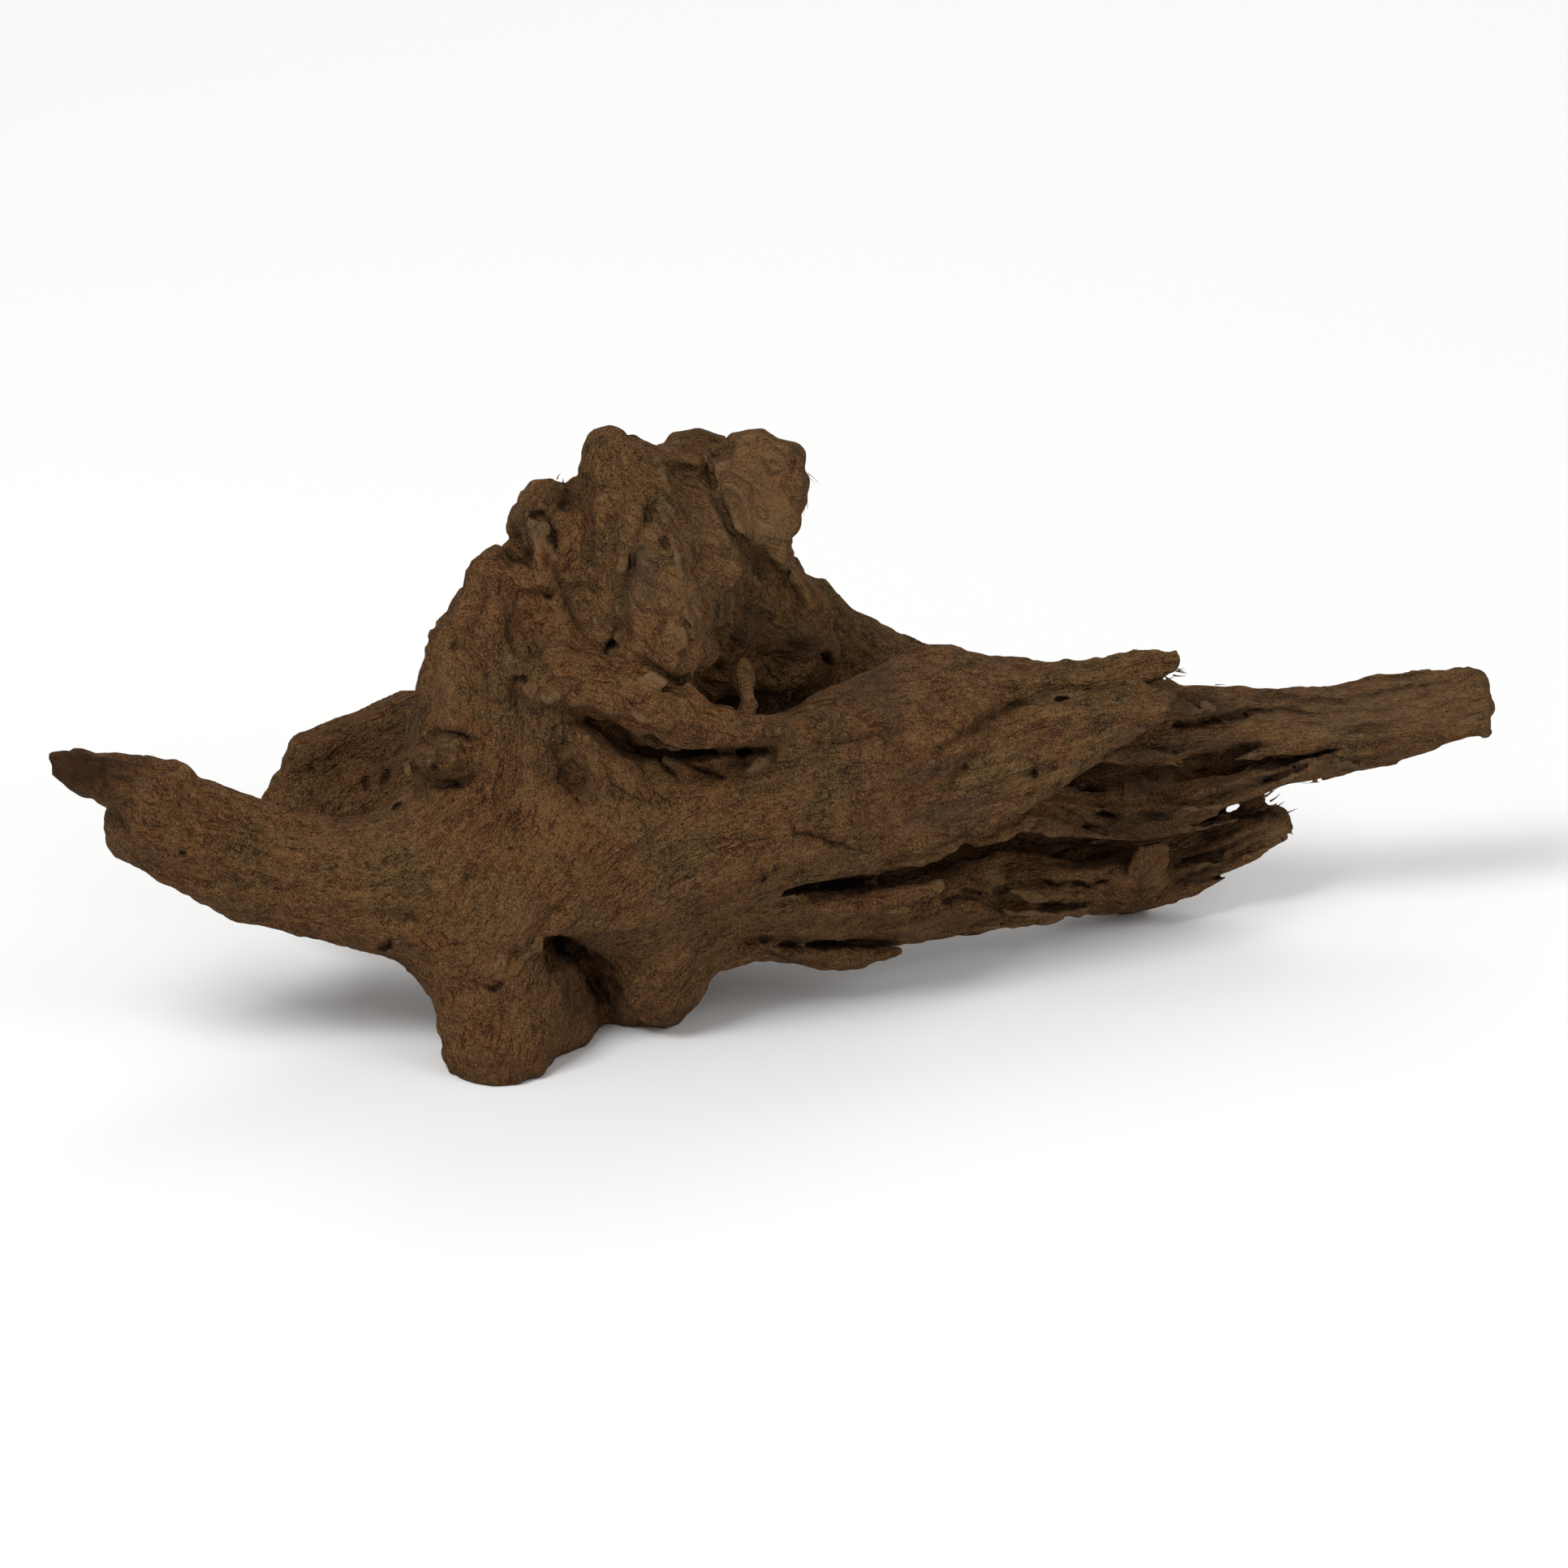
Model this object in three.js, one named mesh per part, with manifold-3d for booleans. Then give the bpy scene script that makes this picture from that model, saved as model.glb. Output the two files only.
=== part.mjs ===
// A dry, weathered piece of driftwood, 0.4 m long, in millimetres with +Z up.
// It is one solid: lobes, layers and feet are lofted along their own centre lines and joined,
// and the clefts and hollows are cut out of them.
//
// A station is [right, seen, back, half across, half deep, roll]. Right and back are X and Y.
// Seen is the height in a picture taken from 25 degrees above the ground, and the half width
// across is measured in that picture. Roll, in degrees, leans a layer's upper edge away.

import * as THREE from "three";
import { LoftGeometry } from "three/addons/geometries/LoftGeometry.js";
import { mergeVertices } from "three/addons/utils/BufferGeometryUtils.js";
import Module from "manifold-3d";

const SIGHT_ANGLE = 25;
const MIDDLE = { x: 2.2, y: 65.72 };
const RING_STEP = 21;
const RING_STEP_SMALL = 14.5;
const SMALL_SIDES = 8;
const NOSE_RINGS = 2;
const LONG_NOSE = 9;
const MOST_NOSE = 0.4; // of a limb's length, for each rounded end
const LEAST_RING = 0.12; // of the full size, at the very end of a limb
const LEAST_HALF = 0.15; // half width of the thinnest ring
// Waves on the surface: height, lobes round the limb, length along it, turn from limb to limb.
const WAVES = [[0.9, 2, 17, 1.7], [0.7, 3, -11, 2.9], [0.5, 5, 23, 4.1]];
const GROUND = { long: 600, deep: 400, thick: 60, back: 60 };
const WOOD = { color: 0x5a3c25, roughness: 0.92, metalness: 0 };

const LIMBS = [
  // The trunk's core, the crown's bulk and the swelling where the wall starts.
  { name: "heart", act: "grow", edge: 2.0, wave: 0.05, noses: [18, 18], sides: 13, stations: [
    [-108, 54, 44, 14, 15], [-82, 58, 46, 22, 22], [-55, 62, 50, 26, 32], [-25, 66, 56, 28, 36],
    [5, 72, 62, 24, 30], [34, 80, 74, 17, 22],
  ] },
  { name: "mound", act: "grow", edge: 2.0, wave: 0.05, noses: [14, 12], sides: 13, stations: [
    [-52, 66, 58, 42, 34], [-54, 90, 60, 38, 33], [-53, 110, 62, 33, 29], [-46, 128, 66, 28, 24],
    [-38, 144, 72, 24, 19], [-32, 158, 78, 18, 14], [-30, 168, 82, 12, 9],
  ] },
  { name: "shoulder", act: "grow", edge: 2.0, wave: 0.04, noses: [16, 14], sides: 10, stations: [
    [-26, 84, 44, 12, 14], [-4, 82, 46, 15, 15], [20, 87, 54, 16, 13], [42, 93, 64, 12, 10],
    [58, 96, 72, 6, 6],
  ] },
  // Lobes down the left side of the crown.
  { name: "left flank", act: "grow", edge: 2.0, wave: 0.06, noses: [16, 8], sides: 10, stations: [
    [-86, 80, 44, 14, 15], [-86, 102, 48, 13.5, 15], [-82, 118, 50, 12, 13], [-76, 128, 54, 9, 10],
  ] },
  { name: "left shoulder", act: "grow", edge: 2.0, wave: 0.06, noses: [16, 5], sides: 10, stations: [
    [-72, 108, 52, 15, 14], [-76, 124, 52, 11.5, 12], [-76, 137, 53, 9.8, 10],
    [-76.5, 147, 54, 6.5, 6.5],
  ] },
  { name: "left hip knob", act: "grow", edge: 2.0, wave: 0.08, noses: [6, 4], sides: 8, stations: [
    [-82, 110, 48, 8, 9], [-86.5, 120, 47, 6.5, 7.5], [-87.5, 127.5, 47, 4.4, 5],
  ] },
  { name: "eye head", act: "grow", edge: 2.0, wave: 0.06, noses: [14, 5], sides: 10, stations: [
    [-54, 112, 56, 16, 15], [-56.5, 134, 58, 10.5, 13], [-58.5, 146, 59, 9.6, 12],
    [-61, 156, 60, 11.2, 12], [-58.5, 167, 62, 7, 8],
  ] },
  // Heads along the top of the crown, with the mass that joins them.
  { name: "crown web", act: "grow", edge: 2.0, wave: 0.04, noses: [10, 8], sides: 10, stations: [
    [-76, 124, 56, 9, 10], [-66, 138, 60, 12, 12], [-50, 150, 62, 14.5, 13], [-33, 158, 67, 15, 13],
    [-16, 158, 72, 13.5, 12], [-2, 154, 74, 9, 9],
  ] },
  { name: "tall head", act: "grow", edge: 2.0, wave: 0.05, noses: [14, 4], sides: 10, stations: [
    [-42, 118, 54, 14, 14], [-43, 145, 57, 11.5, 13], [-42.5, 160, 60, 9, 11],
    [-43.5, 170, 62, 8.2, 9.5], [-43.5, 180, 64, 5, 6],
  ] },
  { name: "brow", act: "grow", edge: 2.0, wave: 0.05, noses: [14, 5], sides: 10, stations: [
    [-32, 136, 66, 15, 10], [-29, 150, 70, 14, 9], [-28, 163, 73, 13, 8], [-28, 171, 75, 11, 6],
  ] },
  { name: "crest", act: "grow", edge: 2.0, wave: 0.05, noses: [14, 4], sides: 11, stations: [
    [-26, 138, 76, 17, 13], [-23.5, 158, 80, 14, 10], [-21, 172, 83, 10, 7.5], [-19, 180, 84, 6.5, 5],
  ] },
  { name: "crest arm", act: "grow", edge: 2.0, wave: 0.05, noses: [5, 4], sides: 8, stations: [
    [-46, 173, 63, 4, 8], [-38, 174.5, 68, 4, 8], [-28, 172, 71, 4, 8], [-17, 170, 72, 4, 8],
  ] },
  { name: "crown neck", act: "grow", edge: 2.0, wave: 0.05, noses: [14, 6], sides: 10, stations: [
    [-10, 120, 80, 13, 12], [-9, 135, 76, 13, 13], [-4, 150, 73, 9.5, 12], [-3, 164, 77, 9, 10],
    [-4, 173, 80, 7, 7],
  ] },
  { name: "crown face", act: "grow", edge: 2.0, wave: 0.05, noses: [16, 8], sides: 11, stations: [
    [-22, 110, 82, 16, 14], [-19, 130, 76, 18, 16], [-17, 148, 72, 18, 15], [-17, 162, 74, 17, 13],
    [-16, 175, 79, 13, 8],
  ] },
  { name: "crown front", act: "grow", edge: 2.0, wave: 0.05, noses: [14, 12], sides: 10, stations: [
    [-34, 168, 66, 12, 9], [-29, 158, 60, 13, 11], [-22, 149, 55, 14, 12], [-19, 138, 51, 10, 12],
    [-19, 126, 47, 6, 11], [-17.5, 115, 44, 4, 9],
  ] },
  // The long left arm, its thinner inner wood and the rim round it.
  { name: "hip", act: "grow", edge: 2.0, wave: 0.05, noses: [16, 12], sides: 10, stations: [
    [-122, 57, 34, 13, 11], [-104, 62, 36, 13, 12], [-90, 70.5, 38, 12, 14], [-74, 79, 42, 12, 16],
  ] },
  { name: "arm", act: "grow", edge: 2.1, wave: 0.04, noses: [18, 5], sides: 13, stations: [
    [-62, 54, 46, 20, 22], [-86, 51.5, 42, 19.5, 20], [-110, 54.5, 36, 18.3, 16],
    [-140, 62.5, 28, 16.2, 14], [-158, 70, 23, 15.6, 13], [-171, 75.7, 19, 14.4, 12],
    [-180, 79.5, 17, 11.5, 10],
  ] },
  { name: "arm core", act: "grow", edge: 2.0, wave: 0.08, noses: [8, 4], sides: 8, stations: [
    [-160, 76, 21, 10, 9], [-174, 83, 18, 9.5, 8], [-186, 87.5, 15, 8, 7], [-192, 89.5, 13.5, 6, 5.5],
    [-198.5, 91.5, 13, 2.8, 2.6],
  ] },
  { name: "arm rim", act: "grow", edge: 2.0, wave: 0.06, noses: [6, 3], sides: 6, stations: [
    [-158, 84, 26, 4, 5], [-170, 90, 23, 3.2, 5], [-180, 92.5, 20, 2.8, 4], [-190, 92.5, 16, 2.4, 3],
  ] },
  // Cupped lobe behind the left arm, and the leg that goes down from it.
  { name: "disc", act: "grow", edge: 2.0, wave: 0.05, noses: [12, 4], sides: 13, stations: [
    [-84, 90, 80, 20, 13], [-100, 87.5, 84, 22, 10], [-112, 84, 85, 21.5, 9], [-124, 80.2, 83, 20.5, 8],
    [-134, 78, 80, 16, 6.5], [-142, 79, 78, 8, 4],
  ] },
  { name: "back leg", act: "grow", edge: 2.0, wave: 0.05, noses: [12, 4], sides: 11, stations: [
    [-100, 80, 88, 18, 11], [-104, 62, 92, 13, 11], [-102, 50, 97, 9.5, 9.5], [-101, 41, 101, 7.5, 8],
  ] },
  // Feet and the underside between them.
  { name: "front foot", act: "grow", edge: 2.0, wave: 0.04, noses: [26, 5], sides: 13, stations: [
    [-72, 62, 40, 27, 23], [-75, 46, 32, 24.5, 20.5], [-76, 35, 26.5, 20.8, 18],
    [-75.5, 24, 19, 17.5, 16], [-75, 13, 15, 15.8, 14], [-74, 2, 13.5, 13, 12.8],
  ] },
  { name: "heel", act: "grow", edge: 2.0, wave: 0.05, noses: [12, 10], sides: 11, stations: [
    [-74, 28, 26, 17, 17], [-61, 26, 36, 15, 15], [-47, 31, 54, 15, 13.5], [-30, 40, 66, 16, 16],
  ] },
  { name: "second foot", act: "grow", edge: 2.0, wave: 0.04, noses: [20, 4], sides: 11, stations: [
    [-20, 66, 48, 20, 20], [-24, 51, 42, 19, 17], [-28.5, 40, 38, 15.5, 14], [-31, 30, 38, 12.5, 12],
    [-33, 21, 49, 9.5, 7.5],
  ] },
  { name: "underside", act: "grow", edge: 2.0, wave: 0.05, noses: [14, 14], sides: 11, stations: [
    [-30, 46, 62, 14, 18], [-8, 48, 62, 13, 18], [10, 50, 66, 10, 16], [30, 52, 74, 8, 14],
  ] },
  // The far side: a rounded flank and a root that runs out to the right.
  { name: "back flank", act: "grow", edge: 2.0, wave: 0.06, noses: [18, 16], sides: 13, stations: [
    [-78, 90, 84, 16, 12], [-60, 84, 94, 24, 16], [-36, 80, 98, 28, 18], [-8, 84, 102, 22, 17],
    [16, 86, 106, 16, 14],
  ] },
  { name: "back root", act: "grow", edge: 2.0, wave: 0.06, noses: [18, 3], sides: 11, stations: [
    [-16, 116, 98, 20, 15], [2, 104, 104, 19, 14], [22, 96, 108, 16, 12], [48, 90, 113, 16, 10],
    [75, 84, 118, 17, 8], [98, 81, 122, 15, 6], [120, 83, 123, 11, 5], [138, 88, 122, 6, 4],
  ] },
  // Leaf, hanging tongue and rolled fold on the crown's face.
  { name: "ear", act: "grow", edge: 2.1, wave: 0.05, noses: [3, 3], sides: 10, stations: [
    [3.6, 142.5, 60, 1.8, 4, -10], [1.7, 147, 60.5, 3.6, 4.5, -10], [0.4, 153, 62, 6.8, 6, -10],
    [-1.1, 159, 65, 9.6, 6.5, -8], [-2.8, 166, 68, 11.6, 7, -8], [-4.6, 172.5, 71, 11.6, 6.5, -6],
    [-6.5, 177, 74, 8, 5.5], [-8.8, 180, 76, 3.6, 4],
  ] },
  { name: "ear side", act: "grow", edge: 2.0, wave: 0.07, noses: [4, 2], sides: 6, stations: [
    [3, 152, 64, 4, 4], [4, 160, 66, 5, 4.6], [4.6, 167, 69, 5, 4], [5.8, 176, 73, 3, 2.6],
  ] },
  { name: "tongue", act: "grow", edge: 2.1, wave: 0.04, noses: [9, 3], sides: 8, stations: [
    [-40, 162, 60, 7, 10], [-36.5, 147, 49, 8.5, 9], [-34, 134, 41, 10, 8.5], [-31, 124, 34.5, 9.5, 7],
    [-28, 117.5, 31, 6.5, 5.5], [-26, 114, 30, 4, 3.5],
  ] },
  { name: "tongue ridge", act: "grow", edge: 2.1, wave: 0.04, noses: [6, 3], sides: 6, stations: [
    [-27, 154, 55, 3, 5], [-25, 142, 46.5, 4.3, 6], [-23.5, 131, 38, 4.8, 6], [-22.5, 121, 33, 4.2, 5],
    [-22.5, 115, 31, 3, 3.5],
  ] },
  { name: "fold", act: "grow", edge: 2.0, wave: 0.04, noses: [14, 12], sides: 8, stations: [
    [-64, 118, 44, 9, 8], [-51, 113, 36, 10, 9], [-39, 107.5, 30, 9.8, 9], [-27, 102, 28, 8.2, 8],
    [-14, 98.8, 31, 5.6, 7], [0, 98, 40, 4.6, 7], [16, 99, 50, 6, 8],
  ] },
  { name: "knob", act: "grow", edge: 2.0, wave: 0.14, noses: [4, 4], sides: 8, stations: [
    [-98, 88.5, 41, 4, 6], [-94, 91, 37.5, 6, 7.5], [-88, 90.5, 36.5, 6.6, 8], [-82, 91.5, 38, 4.5, 6],
  ] },
  // Layers that run out to the right, one behind another.
  { name: "back ridge", act: "grow", edge: 1.8, wave: 0.05, noses: [14, 3], sides: 11, stations: [
    [-8, 129, 96, 17, 10, 20], [6, 128, 100, 17, 8, 20], [18, 121, 106, 15, 7, 20],
    [34, 115, 112, 13, 6.5, 20], [50, 111, 116, 11.5, 6, 20], [68, 110.5, 119, 9.5, 5.5, 15],
    [88, 107, 121, 8, 6],
  ] },
  { name: "cheek", act: "grow", edge: 2.0, wave: 0.05, noses: [8, 4], sides: 10, stations: [
    [-4, 112, 80, 10, 9], [2, 124, 79, 12, 11], [5, 134, 78, 9, 10], [3, 142, 77, 5, 7],
  ] },
  { name: "front wall", act: "grow", edge: 2.1, wave: 0.05, noses: [18, 3], sides: 10, stations: [
    [-4, 92, 46, 10, 12], [16, 97, 58, 12.5, 12, 10], [33, 105, 69, 13.8, 9, 20],
    [47, 108.5, 77, 14.5, 7.5, 25], [62, 108.5, 84, 11, 6, 25], [80, 110.5, 90, 7, 5, 20],
  ] },
  { name: "stub", act: "grow", edge: 1.9, wave: 0.08, noses: [9, 2], sides: 8, stations: [
    [60, 110, 87, 8, 5, 15], [80, 111, 91, 7, 5, 15], [95, 113, 94, 6, 4.4, 15],
    [107, 117, 97, 5.5, 4, 10], [115, 119, 98, 3.6, 3],
  ] },
  { name: "spike", act: "grow", edge: 2.6, wave: 0.04, noses: [14, 3], sides: 10, stations: [
    [60, 96, 104, 10, 8, 10], [85, 99, 107, 11, 7.5, 15], [110, 101.2, 110, 12.2, 6.5, 18],
    [131, 101.5, 113, 10, 6, 18], [147, 101.5, 115, 11, 6, 18], [161, 101, 117, 12.3, 6.5, 16],
    [176, 102.8, 119, 12, 6.5, 14], [191, 106.5, 121, 11.2, 5.5, 12], [200, 107.3, 122, 10, 4.8, 10],
    [203, 107.3, 122, 8.5, 3.8, 10],
  ] },
  { name: "lower plank", act: "grow", edge: 2.2, wave: 0.05, noses: [12, 6], sides: 8, stations: [
    [66, 80, 95, 8, 9, 5], [90, 76.5, 101, 7.6, 8, 10], [112, 76.2, 106, 6.8, 7, 12],
    [131, 82.2, 111, 6.2, 6, 14], [147, 88.5, 114, 5.6, 6, 14], [165, 94, 117, 7, 6, 14],
    [178, 97, 118, 5, 5, 10],
  ] },
  { name: "paddle root", act: "grow", edge: 2.0, wave: 0.04, noses: [18, 16], sides: 10, stations: [
    [-30, 66, 40, 14, 15], [-6, 68, 44, 14, 14], [16, 72, 50, 14, 12, 8], [34, 76, 58, 12, 9, 16],
  ] },
  { name: "bark", act: "grow", edge: 1.9, wave: 0.1, noses: [4, 2], sides: 8, stations: [
    [102, 108, 100.5, 5.6, 4, 10], [111, 108, 103, 6.6, 4.4, 15], [119, 106.6, 105.5, 5.4, 4, 18],
    [127, 106.3, 107.5, 4.2, 3.6, 18], [133, 107.6, 109, 2, 2.6, 18],
  ] },
  { name: "mid plank", act: "grow", edge: 2.2, wave: 0.06, noses: [8, 2], sides: 6, stations: [
    [84, 88, 95, 2.4, 4, 10], [99, 92.2, 99.5, 4.6, 4.2, 14], [113.5, 95.4, 103, 5, 4, 16],
    [127.5, 97.4, 106, 4.8, 3.8, 16], [139, 99.4, 108.5, 4.4, 3.4, 16], [148, 101.3, 110.5, 1.6, 2, 16],
  ] },
  { name: "inner wall", act: "grow", edge: 2.0, wave: 0.05, noses: [10, 6], sides: 10, stations: [
    [-6, 60, 78, 12, 10], [20, 62, 86, 12, 10], [45, 66, 96, 12, 8], [70, 69, 106, 11, 7],
    [95, 73, 114, 9, 6],
  ] },
  { name: "back sheet", act: "grow", edge: 2.0, wave: 0.05, noses: [8, 4], sides: 8, stations: [
    [82, 82, 116, 9, 6], [104, 85, 119, 9, 5.5], [124, 88.5, 120, 8.5, 5], [142, 93, 121, 7, 4.5],
    [156, 97, 121, 5, 4],
  ] },
  { name: "low sheet", act: "grow", edge: 2.0, wave: 0.05, noses: [8, 3], sides: 8, stations: [
    [80, 62, 116, 8, 6], [100, 67, 119, 8, 5.5], [118, 72, 120.5, 8, 5], [132, 78, 121, 6, 4],
    [139, 81, 121, 3, 3],
  ] },
  { name: "paddle", act: "grow", edge: 2.5, wave: 0.04, noses: [24, 3], sides: 10, stations: [
    [14, 72, 50, 12, 9, 8], [30, 74, 54, 14.2, 8.5, 16], [44, 78, 60, 15.7, 7.5, 22],
    [56, 83, 65, 14.8, 7, 24], [70, 91.5, 72, 14.3, 6, 24], [86, 99.3, 78, 11.3, 5, 22],
    [99, 104, 83, 9, 4.4, 18], [108, 105, 86, 6, 4, 14], [112, 105, 87, 3.5, 3, 10],
  ] },
  { name: "lower layer", act: "grow", edge: 2.2, wave: 0.05, noses: [18, 3], sides: 10, stations: [
    [-14, 48, 46, 10, 14], [10, 47.5, 52, 7.8, 14, 5], [30, 48, 62, 7.4, 12, 12],
    [50, 51.5, 76, 9.6, 11, 18], [70, 55, 90, 11.3, 9, 22], [89, 57, 103, 9.8, 8.5, 22],
    [107, 58, 111, 10, 8, 20], [122, 62, 114, 8.2, 7, 18], [135, 69, 116, 6.8, 5.5, 15],
    [145.5, 75.3, 117, 4.4, 3.5, 10],
  ] },
  { name: "chip", act: "grow", edge: 4, wave: 0.04, noses: [0.8, 0.8], sides: 8, stations: [
    [102, 53, 100, 5.6, 2.2], [104.5, 58, 100, 6.6, 2.4], [106.5, 63.5, 100.5, 5.2, 2.2],
    [108.6, 68, 100.5, 2.8, 1.6],
  ] },
  { name: "right foot", act: "grow", edge: 2.0, wave: 0.05, noses: [7, 2.5], sides: 8, stations: [
    [92, 58, 112, 8, 7], [99, 54, 114, 6.5, 6], [102, 48, 115.5, 5, 4.6],
  ] },
  // Clefts between the layers, with a loose strip of wood in the widest.
  { name: "gap", act: "cut", edge: 1.5, wave: 0.06, noses: [3, 3], sides: 13, stations: [
    [-4, 53, 34, 0.5, 4], [8, 55, 36, 1.1, 14], [25, 56.6, 44, 1.5, 18], [40, 58.2, 52, 1.9, 20],
    [50, 61.5, 60, 2.2, 21], [60, 66.5, 70, 3, 22], [70, 68.3, 78, 2.6, 22], [82, 66.2, 86, 2.2, 21],
    [95, 65.8, 94, 1.5, 19], [108, 68.3, 99, 1.7, 15], [120, 70.3, 103, 1.9, 12],
    [132, 74, 106, 2.2, 10], [141, 78.5, 109, 2.2, 11], [148, 82.5, 111, 2.2, 12],
  ] },
  { name: "leaf", act: "grow", edge: 1.6, wave: 0.05, noses: [7, 2], sides: 8, stations: [
    [48, 72, 74, 7, 6], [62, 74, 82, 6, 5, 15], [74, 73.8, 88, 5, 4, 20], [84, 71.3, 92, 2.8, 2.6, 20],
    [91.5, 69.6, 94, 0.8, 1],
  ] },
  { name: "long gap", act: "cut", edge: 1.5, wave: 0.06, noses: [3, 3], sides: 11, stations: [
    [86, 84, 92, 0.6, 10], [97, 84.8, 95, 2.3, 15], [108, 85.8, 98, 3.2, 17], [120, 87.6, 101, 2.8, 17],
    [132, 89.7, 104, 1.6, 14], [147, 91.4, 108, 0.8, 10], [160, 93.4, 110, 0.4, 5],
  ] },
  { name: "low split", act: "cut", edge: 1.6, wave: 0.05, noses: [2, 2], sides: 6, stations: [
    [54, 53.8, 68, 0.4, 3], [62, 51.1, 72, 1.1, 5], [72, 49.9, 79, 1, 5], [82, 49.7, 87, 0.8, 4.5],
    [90, 50.3, 93, 0.3, 2.5],
  ] },
  { name: "lower plate", act: "grow", edge: 1.7, wave: 0.05, noses: [12, 2], sides: 8, stations: [
    [-14, 50, 34, 6, 7], [4, 50.5, 38, 5, 6, 10], [18, 50.3, 42, 4.6, 5, 20],
    [30, 50.8, 46, 4.3, 4, 25], [41, 53.6, 50, 4, 3.2, 25], [49, 57.2, 53, 2.4, 2, 20],
  ] },
  { name: "splinter", act: "grow", edge: 1.8, wave: 0.05, noses: [12, 2], sides: 10, stations: [
    [-22, 38, 40, 7, 11], [-6, 38.3, 44, 4.6, 8], [8, 37, 48, 3.9, 6], [20, 36, 52, 3.4, 4.5],
    [30, 37, 55, 2, 2.8], [36, 37.6, 57, 0.8, 1.2],
  ] },
  { name: "flap", act: "grow", edge: 2.0, wave: 0.08, noses: [3, 3], sides: 6, stations: [
    [3.5, 144.5, 65, 2.2, 5], [8, 138, 70, 2.7, 5], [12.5, 132.5, 76, 2.7, 5], [15, 125, 82, 2.4, 5],
    [17, 118, 88, 1.8, 4],
  ] },
  { name: "inner brow", act: "grow", edge: 2.0, wave: 0.1, noses: [3, 3], sides: 6, stations: [
    [-13, 130.5, 63, 1.8, 5], [-8, 134, 66, 2.8, 5], [-1, 132.3, 71, 3, 5], [4.5, 127, 76, 3, 5],
    [11, 127.5, 81, 2.2, 4],
  ] },
  { name: "tooth", act: "grow", edge: 2.0, wave: 0.05, noses: [3, 1.5], sides: 6, stations: [
    [-11, 97.5, 36, 2.6, 3.5], [-8.5, 106, 39, 3, 2.8], [-7.6, 113.5, 41, 2.8, 2],
    [-7, 119.3, 43, 1.2, 1.2],
  ] },
  // Hollows in the face.
  { name: "recess", act: "cut", edge: 1.8, wave: 0.05, noses: [4, 4], sides: 13, stations: [
    [-56.5, 104.6, 24, 0.8, 8], [-50, 101.4, 23, 2.2, 16], [-42, 97.4, 22, 4.3, 23],
    [-35, 94, 22, 4.3, 23], [-28, 92.7, 24, 2.5, 22], [-14, 92.9, 28, 1.5, 19], [1, 93.4, 36, 0.8, 10],
  ] },
  { name: "arch", act: "cut", edge: 2.0, wave: 0.04, noses: [4, 4], sides: 13, stations: [
    [-61, 41, 14, 2.5, 10], [-56.5, 36, 14, 6, 22], [-51, 28, 16, 8, 23], [-47, 17, 18, 7, 24],
    [-46, 4, 18, 7, 24],
  ] },
  { name: "heel front", act: "grow", edge: 2.0, wave: 0.04, noses: [8, 8], sides: 10, stations: [
    [-66, 36, 24, 9, 9], [-63, 27, 27, 10.5, 11], [-58.5, 18, 33, 10, 11], [-54, 11, 38, 7, 8],
  ] },
  { name: "dimple", act: "cut", edge: 2.0, wave: 0.04, noses: [3, 3], sides: 10, stations: [
    [-66, 86, 20, 2.5, 5], [-57, 84, 20, 5, 9], [-52, 81.5, 21, 3.8, 11], [-46, 84.5, 22, 2, 6],
  ] },
  { name: "disc bowl", act: "cut", edge: 2.0, wave: 0.04, noses: [6, 6], sides: 10, stations: [
    [-88, 96, 66, 12, 10], [-104, 92, 70, 14, 12], [-118, 87, 72, 13, 11], [-129, 83, 72, 9, 8],
  ] },
  { name: "eye", act: "cut", edge: 2.0, wave: 0.08, noses: [2, 1], sides: 8, stations: [
    [-52.2, 171, 52, 2.2, 8], [-53.5, 166, 49.5, 3.4, 6.5], [-55.2, 162, 48.5, 3.2, 8],
    [-57, 159.5, 48, 2.3, 10], [-57.3, 156.5, 49, 1, 5],
  ] },
  { name: "shoulder crack", act: "cut", edge: 1.7, wave: 0.05, noses: [1, 1], sides: 11, stations: [
    [-75, 153, 52, 4, 18], [-70.5, 149, 50, 2.8, 18], [-67, 145, 48, 1.7, 16],
    [-63.5, 140.5, 45, 0.9, 12], [-60.5, 136.5, 42, 0.4, 6],
  ] },
  { name: "valley", act: "cut", edge: 2.0, wave: 0.04, noses: [6, 6], sides: 10, stations: [
    [-8, 102, 47, 2.5, 9], [-6, 108, 52, 4.2, 11], [-1, 114, 60, 5, 10], [9, 118, 74, 4, 8],
  ] },
  { name: "slot", act: "cut", edge: 2.0, wave: 0.04, noses: [2, 2], sides: 8, stations: [
    [-11, 115.5, 40, 1, 6], [-12.5, 120, 42, 2.2, 9], [-14, 126, 46, 1.6, 8],
  ] },
];

const radians = THREE.MathUtils.degToRad(SIGHT_ANGLE);
const sine = Math.sin(radians);
const cosine = Math.cos(radians);
const away = new THREE.Vector3(0, cosine, -sine);

// A picture position with its depth, as a point in the object's own frame.
function place([right, seen, back]) {
  return new THREE.Vector3(right, back, (seen - back * sine) / cosine);
}

// Value of a station column part of the way along, by a spline through the stations.
function along(values, t) {
  return new THREE.SplineCurve(values.map((v) => new THREE.Vector2(v, 0))).getPoint(t).x;
}

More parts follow.
